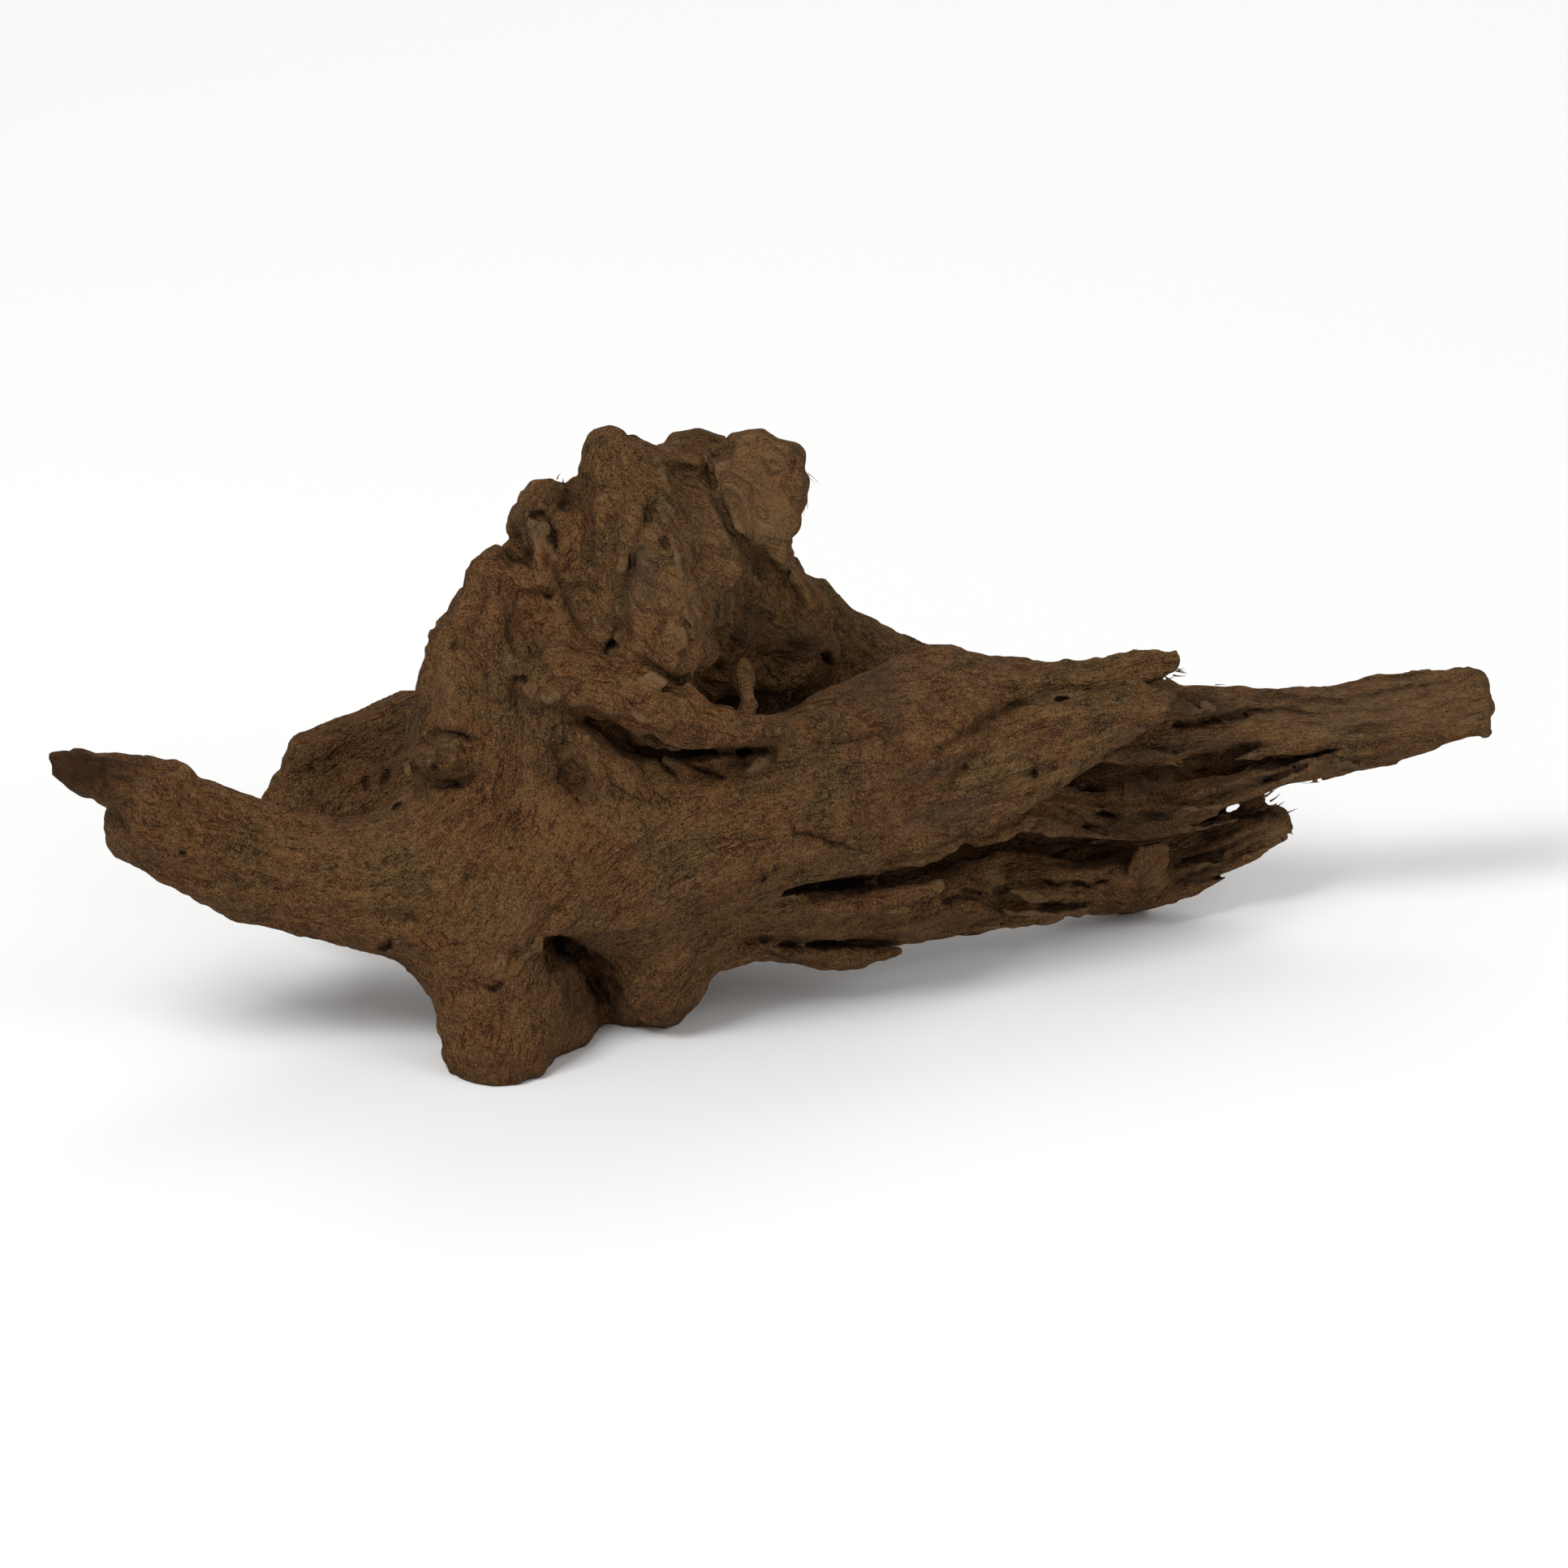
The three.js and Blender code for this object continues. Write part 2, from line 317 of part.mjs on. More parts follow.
// Distances of the rings from the start, closer together at the two rounded ends.
function ringPlaces(length, first, last, step) {
  const places = [];
  const firstRings = first > LONG_NOSE ? NOSE_RINGS + 1 : NOSE_RINGS;
  for (let i = 0; i < firstRings; i += 1) {
    places.push(first * (1 - Math.cos((i / firstRings) * Math.PI * 0.5)));
  }
  const inner = Math.max(2, Math.round((length - first - last) / step));
  for (let i = 0; i <= inner; i += 1) {
    places.push(first + ((length - first - last) * i) / inner);
  }
  const lastRings = last > LONG_NOSE ? NOSE_RINGS + 1 : NOSE_RINGS;
  for (let i = lastRings - 1; i >= 0; i -= 1) {
    places.push(length - last * (1 - Math.cos((i / lastRings) * Math.PI * 0.5)));
  }
  return places;
}

// How much of its full size a ring has, a given way in from a rounded end.
function rounding(reach, nose) {
  return reach >= nose ? 1 : Math.sqrt(Math.max(0, 1 - ((nose - reach) / nose) ** 2));
}

// One limb as rings of points round its centre line.
function limbRings(limb, index) {
  const { stations, edge, wave, sides } = limb;
  const line = new THREE.CatmullRomCurve3(stations.map(place), false, "catmullrom", 0.5);
  line.arcLengthDivisions = 200;
  const length = line.getLength();
  const first = Math.min(limb.noses[0], length * MOST_NOSE);
  const last = Math.min(limb.noses[1], length * MOST_NOSE);
  const across = stations.map((s) => s[3]);
  const deep = stations.map((s) => s[4]);
  const rolls = stations.map((s) => s[5] ?? 0);
  const step = sides < SMALL_SIDES ? RING_STEP_SMALL : RING_STEP;
  return ringPlaces(length, first, last, step).map((distance) => {
    const t = line.getUtoTmapping(0, distance);
    const centre = line.getPoint(t);
    const tangent = line.getTangent(t);
    const wide = new THREE.Vector3().crossVectors(tangent, away).normalize();
    const front = new THREE.Vector3().crossVectors(tangent, wide);
    const roll = THREE.MathUtils.degToRad(along(rolls, t));
    const u = wide.clone().multiplyScalar(Math.cos(roll)).addScaledVector(front, -Math.sin(roll));
    const v = front.clone().multiplyScalar(Math.cos(roll)).addScaledVector(wide, Math.sin(roll));
    const size = Math.max(
      Math.min(rounding(distance, first), rounding(length - distance, last)),
      LEAST_RING,
    );
    const a = Math.max(along(across, t), LEAST_HALF) * size;
    const b = Math.max(along(deep, t), LEAST_HALF) * size;
    const ring = [];
    for (let j = 0; j < sides; j += 1) {
      const turn = (j / sides) * 2 * Math.PI;
      const c = Math.cos(turn);
      const s = Math.sin(turn);
      const bump = WAVES.reduce(
        (sum, [height, lobes, run, turned]) =>
          sum + wave * height * Math.sin(lobes * turn + distance / run + index * turned),
        1,
      );
      ring.push(
        centre
          .clone()
          .addScaledVector(u, Math.sign(c) * Math.abs(c) ** (2 / edge) * a * bump)
          .addScaledVector(v, Math.sign(s) * Math.abs(s) ** (2 / edge) * b * bump),
      );
    }
    return ring;
  });
}

const wasm = await Module();
wasm.setup();

// A closed geometry as a solid that can be joined and cut.
function solidOf(geometry) {
  const bare = new THREE.BufferGeometry();
  bare.setAttribute("position", geometry.attributes.position);
  bare.setIndex(geometry.index);
  const merged = mergeVertices(bare, 1e-4);
  return new wasm.Manifold(
    new wasm.Mesh({
      numProp: 3,
      vertProperties: new Float32Array(merged.attributes.position.array),
      triVerts: new Uint32Array(merged.index.array),
    }),
  );
}

function geometryOf(solid) {
  const mesh = solid.getMesh();
  const geometry = new THREE.BufferGeometry();
  geometry.setAttribute("position", new THREE.Float32BufferAttribute(mesh.vertProperties, 3));
  geometry.setIndex(new THREE.Uint32BufferAttribute(mesh.triVerts, 1));
  return geometry;
}

let wood = null;
LIMBS.forEach((limb, index) => {
  const rings = limbRings(limb, index);
  const piece = solidOf(new LoftGeometry(rings, { capStart: true, capEnd: true }));
  if (wood === null) {
    wood = piece;
  } else if (limb.act === "grow") {
    wood = wood.add(piece);
  } else {
    wood = wood.subtract(piece);
  }
});

// The feet are worn flat where they meet the ground.
const ground = new THREE.BoxGeometry(GROUND.long, GROUND.deep, GROUND.thick);
ground.translate(0, GROUND.back, -GROUND.thick / 2);
wood = wood.subtract(solidOf(ground));

const geometry = geometryOf(wood);
geometry.translate(-MIDDLE.x, -MIDDLE.y, 0);
geometry.computeVertexNormals();

const driftwood = new THREE.Mesh(geometry, new THREE.MeshStandardMaterial(WOOD));
driftwood.name = "driftwood";

const root = new THREE.Group();
root.add(driftwood);

export default root;
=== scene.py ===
"""A dry, weathered piece of driftwood on a pale floor.

The wood is one piece. Its lobes, layers and feet are lofted along their own centre lines and
melted together on a fine grid, the clefts are cut out, and relief that follows the grain is
added before the surface is drawn. Loose fibres stand at the frayed ends.

Stations are in millimetres: right and back are X and Y, and seen is the height in a picture
taken from 25 degrees above the ground.
"""

import logging
import math
from dataclasses import dataclass, field
from enum import Enum
from typing import Any

import bpy
import numpy as np
import openvdb
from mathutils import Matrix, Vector


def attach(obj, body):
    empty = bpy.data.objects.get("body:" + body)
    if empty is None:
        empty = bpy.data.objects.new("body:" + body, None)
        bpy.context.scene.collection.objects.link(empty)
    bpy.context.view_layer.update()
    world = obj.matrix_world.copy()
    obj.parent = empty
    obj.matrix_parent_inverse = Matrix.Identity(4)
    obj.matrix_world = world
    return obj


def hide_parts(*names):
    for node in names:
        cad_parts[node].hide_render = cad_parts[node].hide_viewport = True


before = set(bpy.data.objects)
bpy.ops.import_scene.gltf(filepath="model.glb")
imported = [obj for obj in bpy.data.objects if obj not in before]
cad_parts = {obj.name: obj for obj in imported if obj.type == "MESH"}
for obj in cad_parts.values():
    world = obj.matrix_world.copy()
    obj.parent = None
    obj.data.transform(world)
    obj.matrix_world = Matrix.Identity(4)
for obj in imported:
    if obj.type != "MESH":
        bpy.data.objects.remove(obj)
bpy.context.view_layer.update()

log = logging.getLogger("driftwood")

SIGHT = math.radians(25)
SIGHT_SIN = math.sin(SIGHT)
SIGHT_COS = math.cos(SIGHT)
AWAY = np.array([0.0, SIGHT_COS, -SIGHT_SIN])
PICTURE_UP = np.array([0.0, SIGHT_SIN, SIGHT_COS])
MIDDLE = np.array([2.2, 65.72, 0.0])
MM = 0.001
FAR = 1e6


class Act(Enum):
    """What a limb does to the wood."""

    GROW = "grow"
    CUT = "cut"


@dataclass(frozen=True)
class Limb:
    """One lobe, layer, foot or cleft along a centre line.

    A station is (right, seen, back, half across, half deep) with an optional roll in degrees
    that leans the upper edge away. Edge is the section's squareness: 2 is an ellipse.
    """

    name: str
    act: Act
    blend: float
    edge: float
    wave: float
    noses: tuple[float, float]
    stations: tuple[tuple[float, ...], ...]


GROW = Act.GROW
CUT = Act.CUT

LIMBS: tuple[Limb, ...] = (
    Limb("heart", GROW, 14, 2.0, 0.05, (18, 18), (
        (-108, 54, 44, 14, 15), (-82, 58, 46, 22, 22), (-55, 62, 50, 26, 32), (-25, 66, 56, 28, 36),
        (5, 72, 62, 24, 30), (34, 80, 74, 17, 22),
    )),
    Limb("mound", GROW, 14, 2.0, 0.05, (14, 12), (
        (-52, 66, 58, 42, 34), (-54, 90, 60, 38, 33), (-53, 110, 62, 33, 29), (-46, 128, 66, 28, 24),
        (-38, 144, 72, 24, 19), (-32, 158, 78, 18, 14), (-30, 168, 82, 12, 9),
    )),
    Limb("shoulder", GROW, 14, 2.0, 0.04, (16, 14), (
        (-26, 84, 44, 12, 14), (-4, 82, 46, 15, 15), (20, 87, 54, 16, 13), (42, 93, 64, 12, 10),
        (58, 96, 72, 6, 6),
    )),
    Limb("left flank", GROW, 10, 2.0, 0.06, (16, 8), (
        (-86, 80, 44, 14, 15), (-86, 102, 48, 13.5, 15), (-82, 118, 50, 12, 13), (-76, 128, 54, 9, 10),
    )),
    Limb("left shoulder", GROW, 9, 2.0, 0.06, (16, 5), (
        (-72, 108, 52, 15, 14), (-76, 124, 52, 11.5, 12), (-76, 137, 53, 9.8, 10),
        (-76.5, 147, 54, 6.5, 6.5),
    )),
    Limb("left hip knob", GROW, 4, 2.0, 0.08, (6, 4), (
        (-82, 110, 48, 8, 9), (-86.5, 120, 47, 6.5, 7.5), (-87.5, 127.5, 47, 4.4, 5),
    )),
    Limb("eye head", GROW, 8, 2.0, 0.06, (14, 5), (
        (-54, 112, 56, 16, 15), (-56.5, 134, 58, 10.5, 13), (-58.5, 146, 59, 9.6, 12),
        (-61, 156, 60, 11.2, 12), (-58.5, 167, 62, 7, 8),
    )),
    Limb("crown web", GROW, 8, 2.0, 0.04, (10, 8), (
        (-76, 124, 56, 9, 10), (-66, 138, 60, 12, 12), (-50, 150, 62, 14.5, 13), (-33, 158, 67, 15, 13),
        (-16, 158, 72, 13.5, 12), (-2, 154, 74, 9, 9),
    )),
    Limb("tall head", GROW, 8, 2.0, 0.05, (14, 4), (
        (-42, 118, 54, 14, 14), (-43, 145, 57, 11.5, 13), (-42.5, 160, 60, 9, 11),
        (-43.5, 170, 62, 8.2, 9.5), (-43.5, 180, 64, 5, 6),
    )),
    Limb("brow", GROW, 8, 2.0, 0.05, (14, 5), (
        (-32, 136, 66, 15, 10), (-29, 150, 70, 14, 9), (-28, 163, 73, 13, 8), (-28, 171, 75, 11, 6),
    )),
    Limb("crest", GROW, 6, 2.0, 0.05, (14, 4), (
        (-26, 138, 76, 17, 13), (-23.5, 158, 80, 14, 10), (-21, 172, 83, 10, 7.5),
        (-19, 180, 84, 6.5, 5),
    )),
    Limb("crest arm", GROW, 6, 2.0, 0.05, (5, 4), (
        (-46, 173, 63, 4, 8), (-38, 174.5, 68, 4, 8), (-28, 172, 71, 4, 8), (-17, 170, 72, 4, 8),
    )),
    Limb("crown neck", GROW, 9, 2.0, 0.05, (14, 6), (
        (-10, 120, 80, 13, 12), (-9, 135, 76, 13, 13), (-4, 150, 73, 9.5, 12), (-3, 164, 77, 9, 10),
        (-4, 173, 80, 7, 7),
    )),
    Limb("crown face", GROW, 9, 2.0, 0.05, (16, 8), (
        (-22, 110, 82, 16, 14), (-19, 130, 76, 18, 16), (-17, 148, 72, 18, 15), (-17, 162, 74, 17, 13),
        (-16, 175, 79, 13, 8),
    )),
    Limb("crown front", GROW, 9, 2.0, 0.05, (14, 12), (
        (-34, 168, 66, 12, 9), (-29, 158, 60, 13, 11), (-22, 149, 55, 14, 12), (-19, 138, 51, 10, 12),
        (-19, 126, 47, 6, 11), (-17.5, 115, 44, 4, 9),
    )),
    Limb("hip", GROW, 10, 2.0, 0.05, (16, 12), (
        (-122, 57, 34, 13, 11), (-104, 62, 36, 13, 12), (-90, 70.5, 38, 12, 14), (-74, 79, 42, 12, 16),
    )),
    Limb("arm", GROW, 12, 2.1, 0.04, (18, 5), (
        (-62, 54, 46, 20, 22), (-86, 51.5, 42, 19.5, 20), (-110, 54.5, 36, 18.3, 16),
        (-140, 62.5, 28, 16.2, 14), (-158, 70, 23, 15.6, 13), (-171, 75.7, 19, 14.4, 12),
        (-180, 79.5, 17, 11.5, 10),
    )),
    Limb("arm core", GROW, 1.5, 2.0, 0.08, (8, 4), (
        (-160, 76, 21, 10, 9), (-174, 83, 18, 9.5, 8), (-186, 87.5, 15, 8, 7),
        (-192, 89.5, 13.5, 6, 5.5), (-198.5, 91.5, 13, 2.8, 2.6),
    )),
    Limb("arm rim", GROW, 2.5, 2.0, 0.06, (6, 3), (
        (-158, 84, 26, 4, 5), (-170, 90, 23, 3.2, 5), (-180, 92.5, 20, 2.8, 4),
        (-190, 92.5, 16, 2.4, 3),
    )),
    Limb("disc", GROW, 5, 2.0, 0.05, (12, 4), (
        (-84, 90, 80, 20, 13), (-100, 87.5, 84, 22, 10), (-112, 84, 85, 21.5, 9),
        (-124, 80.2, 83, 20.5, 8), (-134, 78, 80, 16, 6.5), (-142, 79, 78, 8, 4),
    )),
    Limb("back leg", GROW, 6, 2.0, 0.05, (12, 4), (
        (-100, 80, 88, 18, 11), (-104, 62, 92, 13, 11), (-102, 50, 97, 9.5, 9.5),
        (-101, 41, 101, 7.5, 8),
    )),
    Limb("front foot", GROW, 14, 2.0, 0.04, (26, 5), (
        (-72, 62, 40, 27, 23), (-75, 46, 32, 24.5, 20.5), (-76, 35, 26.5, 20.8, 18),
        (-75.5, 24, 19, 17.5, 16), (-75, 13, 15, 15.8, 14), (-74, 2, 13.5, 13, 12.8),
    )),
    Limb("heel", GROW, 6, 2.0, 0.05, (12, 10), (
        (-74, 28, 26, 17, 17), (-61, 26, 36, 15, 15), (-47, 31, 54, 15, 13.5), (-30, 40, 66, 16, 16),
    )),
    Limb("second foot", GROW, 11, 2.0, 0.04, (20, 4), (
        (-20, 66, 48, 20, 20), (-24, 51, 42, 19, 17), (-28.5, 40, 38, 15.5, 14),
        (-31, 30, 38, 12.5, 12), (-33, 21, 49, 9.5, 7.5),
    )),
    Limb("underside", GROW, 8, 2.0, 0.05, (14, 14), (
        (-30, 46, 62, 14, 18), (-8, 48, 62, 13, 18), (10, 50, 66, 10, 16), (30, 52, 74, 8, 14),
    )),
    Limb("back flank", GROW, 12, 2.0, 0.06, (18, 16), (
        (-78, 90, 84, 16, 12), (-60, 84, 94, 24, 16), (-36, 80, 98, 28, 18), (-8, 84, 102, 22, 17),
        (16, 86, 106, 16, 14),
    )),
    Limb("back root", GROW, 10, 2.0, 0.06, (18, 3), (
        (-16, 116, 98, 20, 15), (2, 104, 104, 19, 14), (22, 96, 108, 16, 12), (48, 90, 113, 16, 10),
        (75, 84, 118, 17, 8), (98, 81, 122, 15, 6), (120, 83, 123, 11, 5), (138, 88, 122, 6, 4),
    )),
    Limb("ear", GROW, 5, 2.1, 0.05, (3, 3), (
        (3.6, 142.5, 60, 1.8, 4, -10), (1.7, 147, 60.5, 3.6, 4.5, -10), (0.4, 153, 62, 6.8, 6, -10),
        (-1.1, 159, 65, 9.6, 6.5, -8), (-2.8, 166, 68, 11.6, 7, -8), (-4.6, 172.5, 71, 11.6, 6.5, -6),
        (-6.5, 177, 74, 8, 5.5), (-8.8, 180, 76, 3.6, 4),
    )),
    Limb("ear side", GROW, 3, 2.0, 0.07, (4, 2), (
        (3, 152, 64, 4, 4), (4, 160, 66, 5, 4.6), (4.6, 167, 69, 5, 4), (5.8, 176, 73, 3, 2.6),
    )),
    Limb("tongue", GROW, 9, 2.1, 0.04, (9, 3), (
        (-40, 162, 60, 7, 10), (-36.5, 147, 49, 8.5, 9), (-34, 134, 41, 10, 8.5),
        (-31, 124, 34.5, 9.5, 7), (-28, 117.5, 31, 6.5, 5.5), (-26, 114, 30, 4, 3.5),
    )),
    Limb("tongue ridge", GROW, 5, 2.1, 0.04, (6, 3), (
        (-27, 154, 55, 3, 5), (-25, 142, 46.5, 4.3, 6), (-23.5, 131, 38, 4.8, 6),
        (-22.5, 121, 33, 4.2, 5), (-22.5, 115, 31, 3, 3.5),
    )),
    Limb("fold", GROW, 10, 2.0, 0.04, (14, 12), (
        (-64, 118, 44, 9, 8), (-51, 113, 36, 10, 9), (-39, 107.5, 30, 9.8, 9), (-27, 102, 28, 8.2, 8),
        (-14, 98.8, 31, 5.6, 7), (0, 98, 40, 4.6, 7), (16, 99, 50, 6, 8),
    )),
    Limb("knob", GROW, 2.2, 2.0, 0.14, (4, 4), (
        (-98, 88.5, 41, 4, 6), (-94, 91, 37.5, 6, 7.5), (-88, 90.5, 36.5, 6.6, 8),
        (-82, 91.5, 38, 4.5, 6),
    )),
    Limb("back ridge", GROW, 5, 1.8, 0.05, (14, 3), (
        (-8, 129, 96, 17, 10, 20), (6, 128, 100, 17, 8, 20), (18, 121, 106, 15, 7, 20),
        (34, 115, 112, 13, 6.5, 20), (50, 111, 116, 11.5, 6, 20), (68, 110.5, 119, 9.5, 5.5, 15),
        (88, 107, 121, 8, 6),
    )),
    Limb("cheek", GROW, 4, 2.0, 0.05, (8, 4), (
        (-4, 112, 80, 10, 9), (2, 124, 79, 12, 11), (5, 134, 78, 9, 10), (3, 142, 77, 5, 7),
    )),
    Limb("front wall", GROW, 8, 2.1, 0.05, (18, 3), (
        (-4, 92, 46, 10, 12), (16, 97, 58, 12.5, 12, 10), (33, 105, 69, 13.8, 9, 20),
        (47, 108.5, 77, 14.5, 7.5, 25), (62, 108.5, 84, 11, 6, 25), (80, 110.5, 90, 7, 5, 20),
    )),
    Limb("stub", GROW, 2, 1.9, 0.08, (9, 2), (
        (60, 110, 87, 8, 5, 15), (80, 111, 91, 7, 5, 15), (95, 113, 94, 6, 4.4, 15),
        (107, 117, 97, 5.5, 4, 10), (115, 119, 98, 3.6, 3),
    )),
    Limb("spike", GROW, 3, 2.6, 0.04, (14, 3), (
        (60, 96, 104, 10, 8, 10), (85, 99, 107, 11, 7.5, 15), (110, 101.2, 110, 12.2, 6.5, 18),
        (131, 101.5, 113, 10, 6, 18), (147, 101.5, 115, 11, 6, 18), (161, 101, 117, 12.3, 6.5, 16),
        (176, 102.8, 119, 12, 6.5, 14), (191, 106.5, 121, 11.2, 5.5, 12),
        (200, 107.3, 122, 10, 4.8, 10), (203, 107.3, 122, 8.5, 3.8, 10),
    )),
    Limb("lower plank", GROW, 3, 2.2, 0.05, (12, 6), (
        (66, 80, 95, 8, 9, 5), (90, 76.5, 101, 7.6, 8, 10), (112, 76.2, 106, 6.8, 7, 12),
        (131, 82.2, 111, 6.2, 6, 14), (147, 88.5, 114, 5.6, 6, 14), (165, 94, 117, 7, 6, 14),
        (178, 97, 118, 5, 5, 10),
    )),
    Limb("paddle root", GROW, 14, 2.0, 0.04, (18, 16), (
        (-30, 66, 40, 14, 15), (-6, 68, 44, 14, 14), (16, 72, 50, 14, 12, 8), (34, 76, 58, 12, 9, 16),
    )),
    Limb("bark", GROW, 1.2, 1.9, 0.1, (4, 2), (
        (102, 108, 100.5, 5.6, 4, 10), (111, 108, 103, 6.6, 4.4, 15), (119, 106.6, 105.5, 5.4, 4, 18),
        (127, 106.3, 107.5, 4.2, 3.6, 18), (133, 107.6, 109, 2, 2.6, 18),
    )),
    Limb("mid plank", GROW, 1, 2.2, 0.06, (8, 2), (
        (84, 88, 95, 2.4, 4, 10), (99, 92.2, 99.5, 4.6, 4.2, 14), (113.5, 95.4, 103, 5, 4, 16),
        (127.5, 97.4, 106, 4.8, 3.8, 16), (139, 99.4, 108.5, 4.4, 3.4, 16),
        (148, 101.3, 110.5, 1.6, 2, 16),
    )),
    Limb("inner wall", GROW, 6, 2.0, 0.05, (10, 6), (
        (-6, 60, 78, 12, 10), (20, 62, 86, 12, 10), (45, 66, 96, 12, 8), (70, 69, 106, 11, 7),
        (95, 73, 114, 9, 6),
    )),
    Limb("back sheet", GROW, 4, 2.0, 0.05, (8, 4), (
        (82, 82, 116, 9, 6), (104, 85, 119, 9, 5.5), (124, 88.5, 120, 8.5, 5), (142, 93, 121, 7, 4.5),
        (156, 97, 121, 5, 4),
    )),
    Limb("low sheet", GROW, 4, 2.0, 0.05, (8, 3), (
        (80, 62, 116, 8, 6), (100, 67, 119, 8, 5.5), (118, 72, 120.5, 8, 5), (132, 78, 121, 6, 4),
        (139, 81, 121, 3, 3),
    )),
    Limb("paddle", GROW, 4, 2.5, 0.04, (24, 3), (
        (14, 72, 50, 12, 9, 8), (30, 74, 54, 14.2, 8.5, 16), (44, 78, 60, 15.7, 7.5, 22),
        (56, 83, 65, 14.8, 7, 24), (70, 91.5, 72, 14.3, 6, 24), (86, 99.3, 78, 11.3, 5, 22),
        (99, 104, 83, 9, 4.4, 18), (108, 105, 86, 6, 4, 14), (112, 105, 87, 3.5, 3, 10),
    )),
    Limb("lower layer", GROW, 4, 2.2, 0.05, (18, 3), (
        (-14, 48, 46, 10, 14), (10, 47.5, 52, 7.8, 14, 5), (30, 48, 62, 7.4, 12, 12),
        (50, 51.5, 76, 9.6, 11, 18), (70, 55, 90, 11.3, 9, 22), (89, 57, 103, 9.8, 8.5, 22),
        (107, 58, 111, 10, 8, 20), (122, 62, 114, 8.2, 7, 18), (135, 69, 116, 6.8, 5.5, 15),
        (145.5, 75.3, 117, 4.4, 3.5, 10),
    )),
    Limb("chip", GROW, 0.6, 4, 0.04, (0.8, 0.8), (
        (102, 53, 100, 5.6, 2.2), (104.5, 58, 100, 6.6, 2.4), (106.5, 63.5, 100.5, 5.2, 2.2),
        (108.6, 68, 100.5, 2.8, 1.6),
    )),
    Limb("right foot", GROW, 3, 2.0, 0.05, (7, 2.5), (
        (92, 58, 112, 8, 7), (99, 54, 114, 6.5, 6), (102, 48, 115.5, 5, 4.6),
    )),
    Limb("gap", CUT, 1.2, 1.5, 0.06, (3, 3), (
        (-4, 53, 34, 0.5, 4), (8, 55, 36, 1.1, 14), (25, 56.6, 44, 1.5, 18), (40, 58.2, 52, 1.9, 20),
        (50, 61.5, 60, 2.2, 21), (60, 66.5, 70, 3, 22), (70, 68.3, 78, 2.6, 22),
        (82, 66.2, 86, 2.2, 21), (95, 65.8, 94, 1.5, 19), (108, 68.3, 99, 1.7, 15),
        (120, 70.3, 103, 1.9, 12), (132, 74, 106, 2.2, 10), (141, 78.5, 109, 2.2, 11),
        (148, 82.5, 111, 2.2, 12),
    )),
    Limb("leaf", GROW, 1, 1.6, 0.05, (7, 2), (
        (48, 72, 74, 7, 6), (62, 74, 82, 6, 5, 15), (74, 73.8, 88, 5, 4, 20),
        (84, 71.3, 92, 2.8, 2.6, 20), (91.5, 69.6, 94, 0.8, 1),
    )),
    Limb("long gap", CUT, 1, 1.5, 0.06, (3, 3), (
        (86, 84, 92, 0.6, 10), (97, 84.8, 95, 2.3, 15), (108, 85.8, 98, 3.2, 17),
        (120, 87.6, 101, 2.8, 17), (132, 89.7, 104, 1.6, 14), (147, 91.4, 108, 0.8, 10),
        (160, 93.4, 110, 0.4, 5),
    )),
    Limb("low split", CUT, 0.8, 1.6, 0.05, (2, 2), (
        (54, 53.8, 68, 0.4, 3), (62, 51.1, 72, 1.1, 5), (72, 49.9, 79, 1, 5), (82, 49.7, 87, 0.8, 4.5),
        (90, 50.3, 93, 0.3, 2.5),
    )),
    Limb("lower plate", GROW, 1, 1.7, 0.05, (12, 2), (
        (-14, 50, 34, 6, 7), (4, 50.5, 38, 5, 6, 10), (18, 50.3, 42, 4.6, 5, 20),
        (30, 50.8, 46, 4.3, 4, 25), (41, 53.6, 50, 4, 3.2, 25), (49, 57.2, 53, 2.4, 2, 20),
    )),
    Limb("splinter", GROW, 1, 1.8, 0.05, (12, 2), (
        (-22, 38, 40, 7, 11), (-6, 38.3, 44, 4.6, 8), (8, 37, 48, 3.9, 6), (20, 36, 52, 3.4, 4.5),
        (30, 37, 55, 2, 2.8), (36, 37.6, 57, 0.8, 1.2),
    )),
    Limb("flap", GROW, 3.5, 2.0, 0.08, (3, 3), (
        (3.5, 144.5, 65, 2.2, 5), (8, 138, 70, 2.7, 5), (12.5, 132.5, 76, 2.7, 5),
        (15, 125, 82, 2.4, 5), (17, 118, 88, 1.8, 4),
    )),
    Limb("inner brow", GROW, 2, 2.0, 0.1, (3, 3), (
        (-13, 130.5, 63, 1.8, 5), (-8, 134, 66, 2.8, 5), (-1, 132.3, 71, 3, 5), (4.5, 127, 76, 3, 5),
        (11, 127.5, 81, 2.2, 4),
    )),
    Limb("tooth", GROW, 0.8, 2.0, 0.05, (3, 1.5), (
        (-6.5, 99, 37, 2.2, 3.2), (-6.2, 104, 39, 1.7, 2.6), (-6.4, 108.5, 41, 2.5, 2.6),
        (-7.2, 113, 43, 3.9, 2.8), (-7.4, 117, 44, 3.6, 2.2), (-8.6, 119.6, 44, 1.4, 1.3),
    )),
    Limb("recess", CUT, 1.6, 1.8, 0.05, (4, 4), (
        (-56.5, 104.6, 24, 0.8, 8), (-50, 101.4, 23, 2.2, 16), (-42, 97.4, 22, 4.3, 23),
        (-35, 94, 22, 4.3, 23), (-28, 92.7, 24, 2.5, 22), (-14, 92.9, 28, 1.5, 19),
        (1, 93.4, 36, 0.8, 10),
    )),
    Limb("arch", CUT, 2, 2.0, 0.04, (4, 4), (
        (-61, 41, 14, 2.5, 10), (-56.5, 36, 14, 6, 22), (-51, 28, 16, 8, 23), (-47, 17, 18, 7, 24),
        (-46, 4, 18, 7, 24),
    )),
    Limb("heel front", GROW, 9, 2.0, 0.04, (8, 8), (
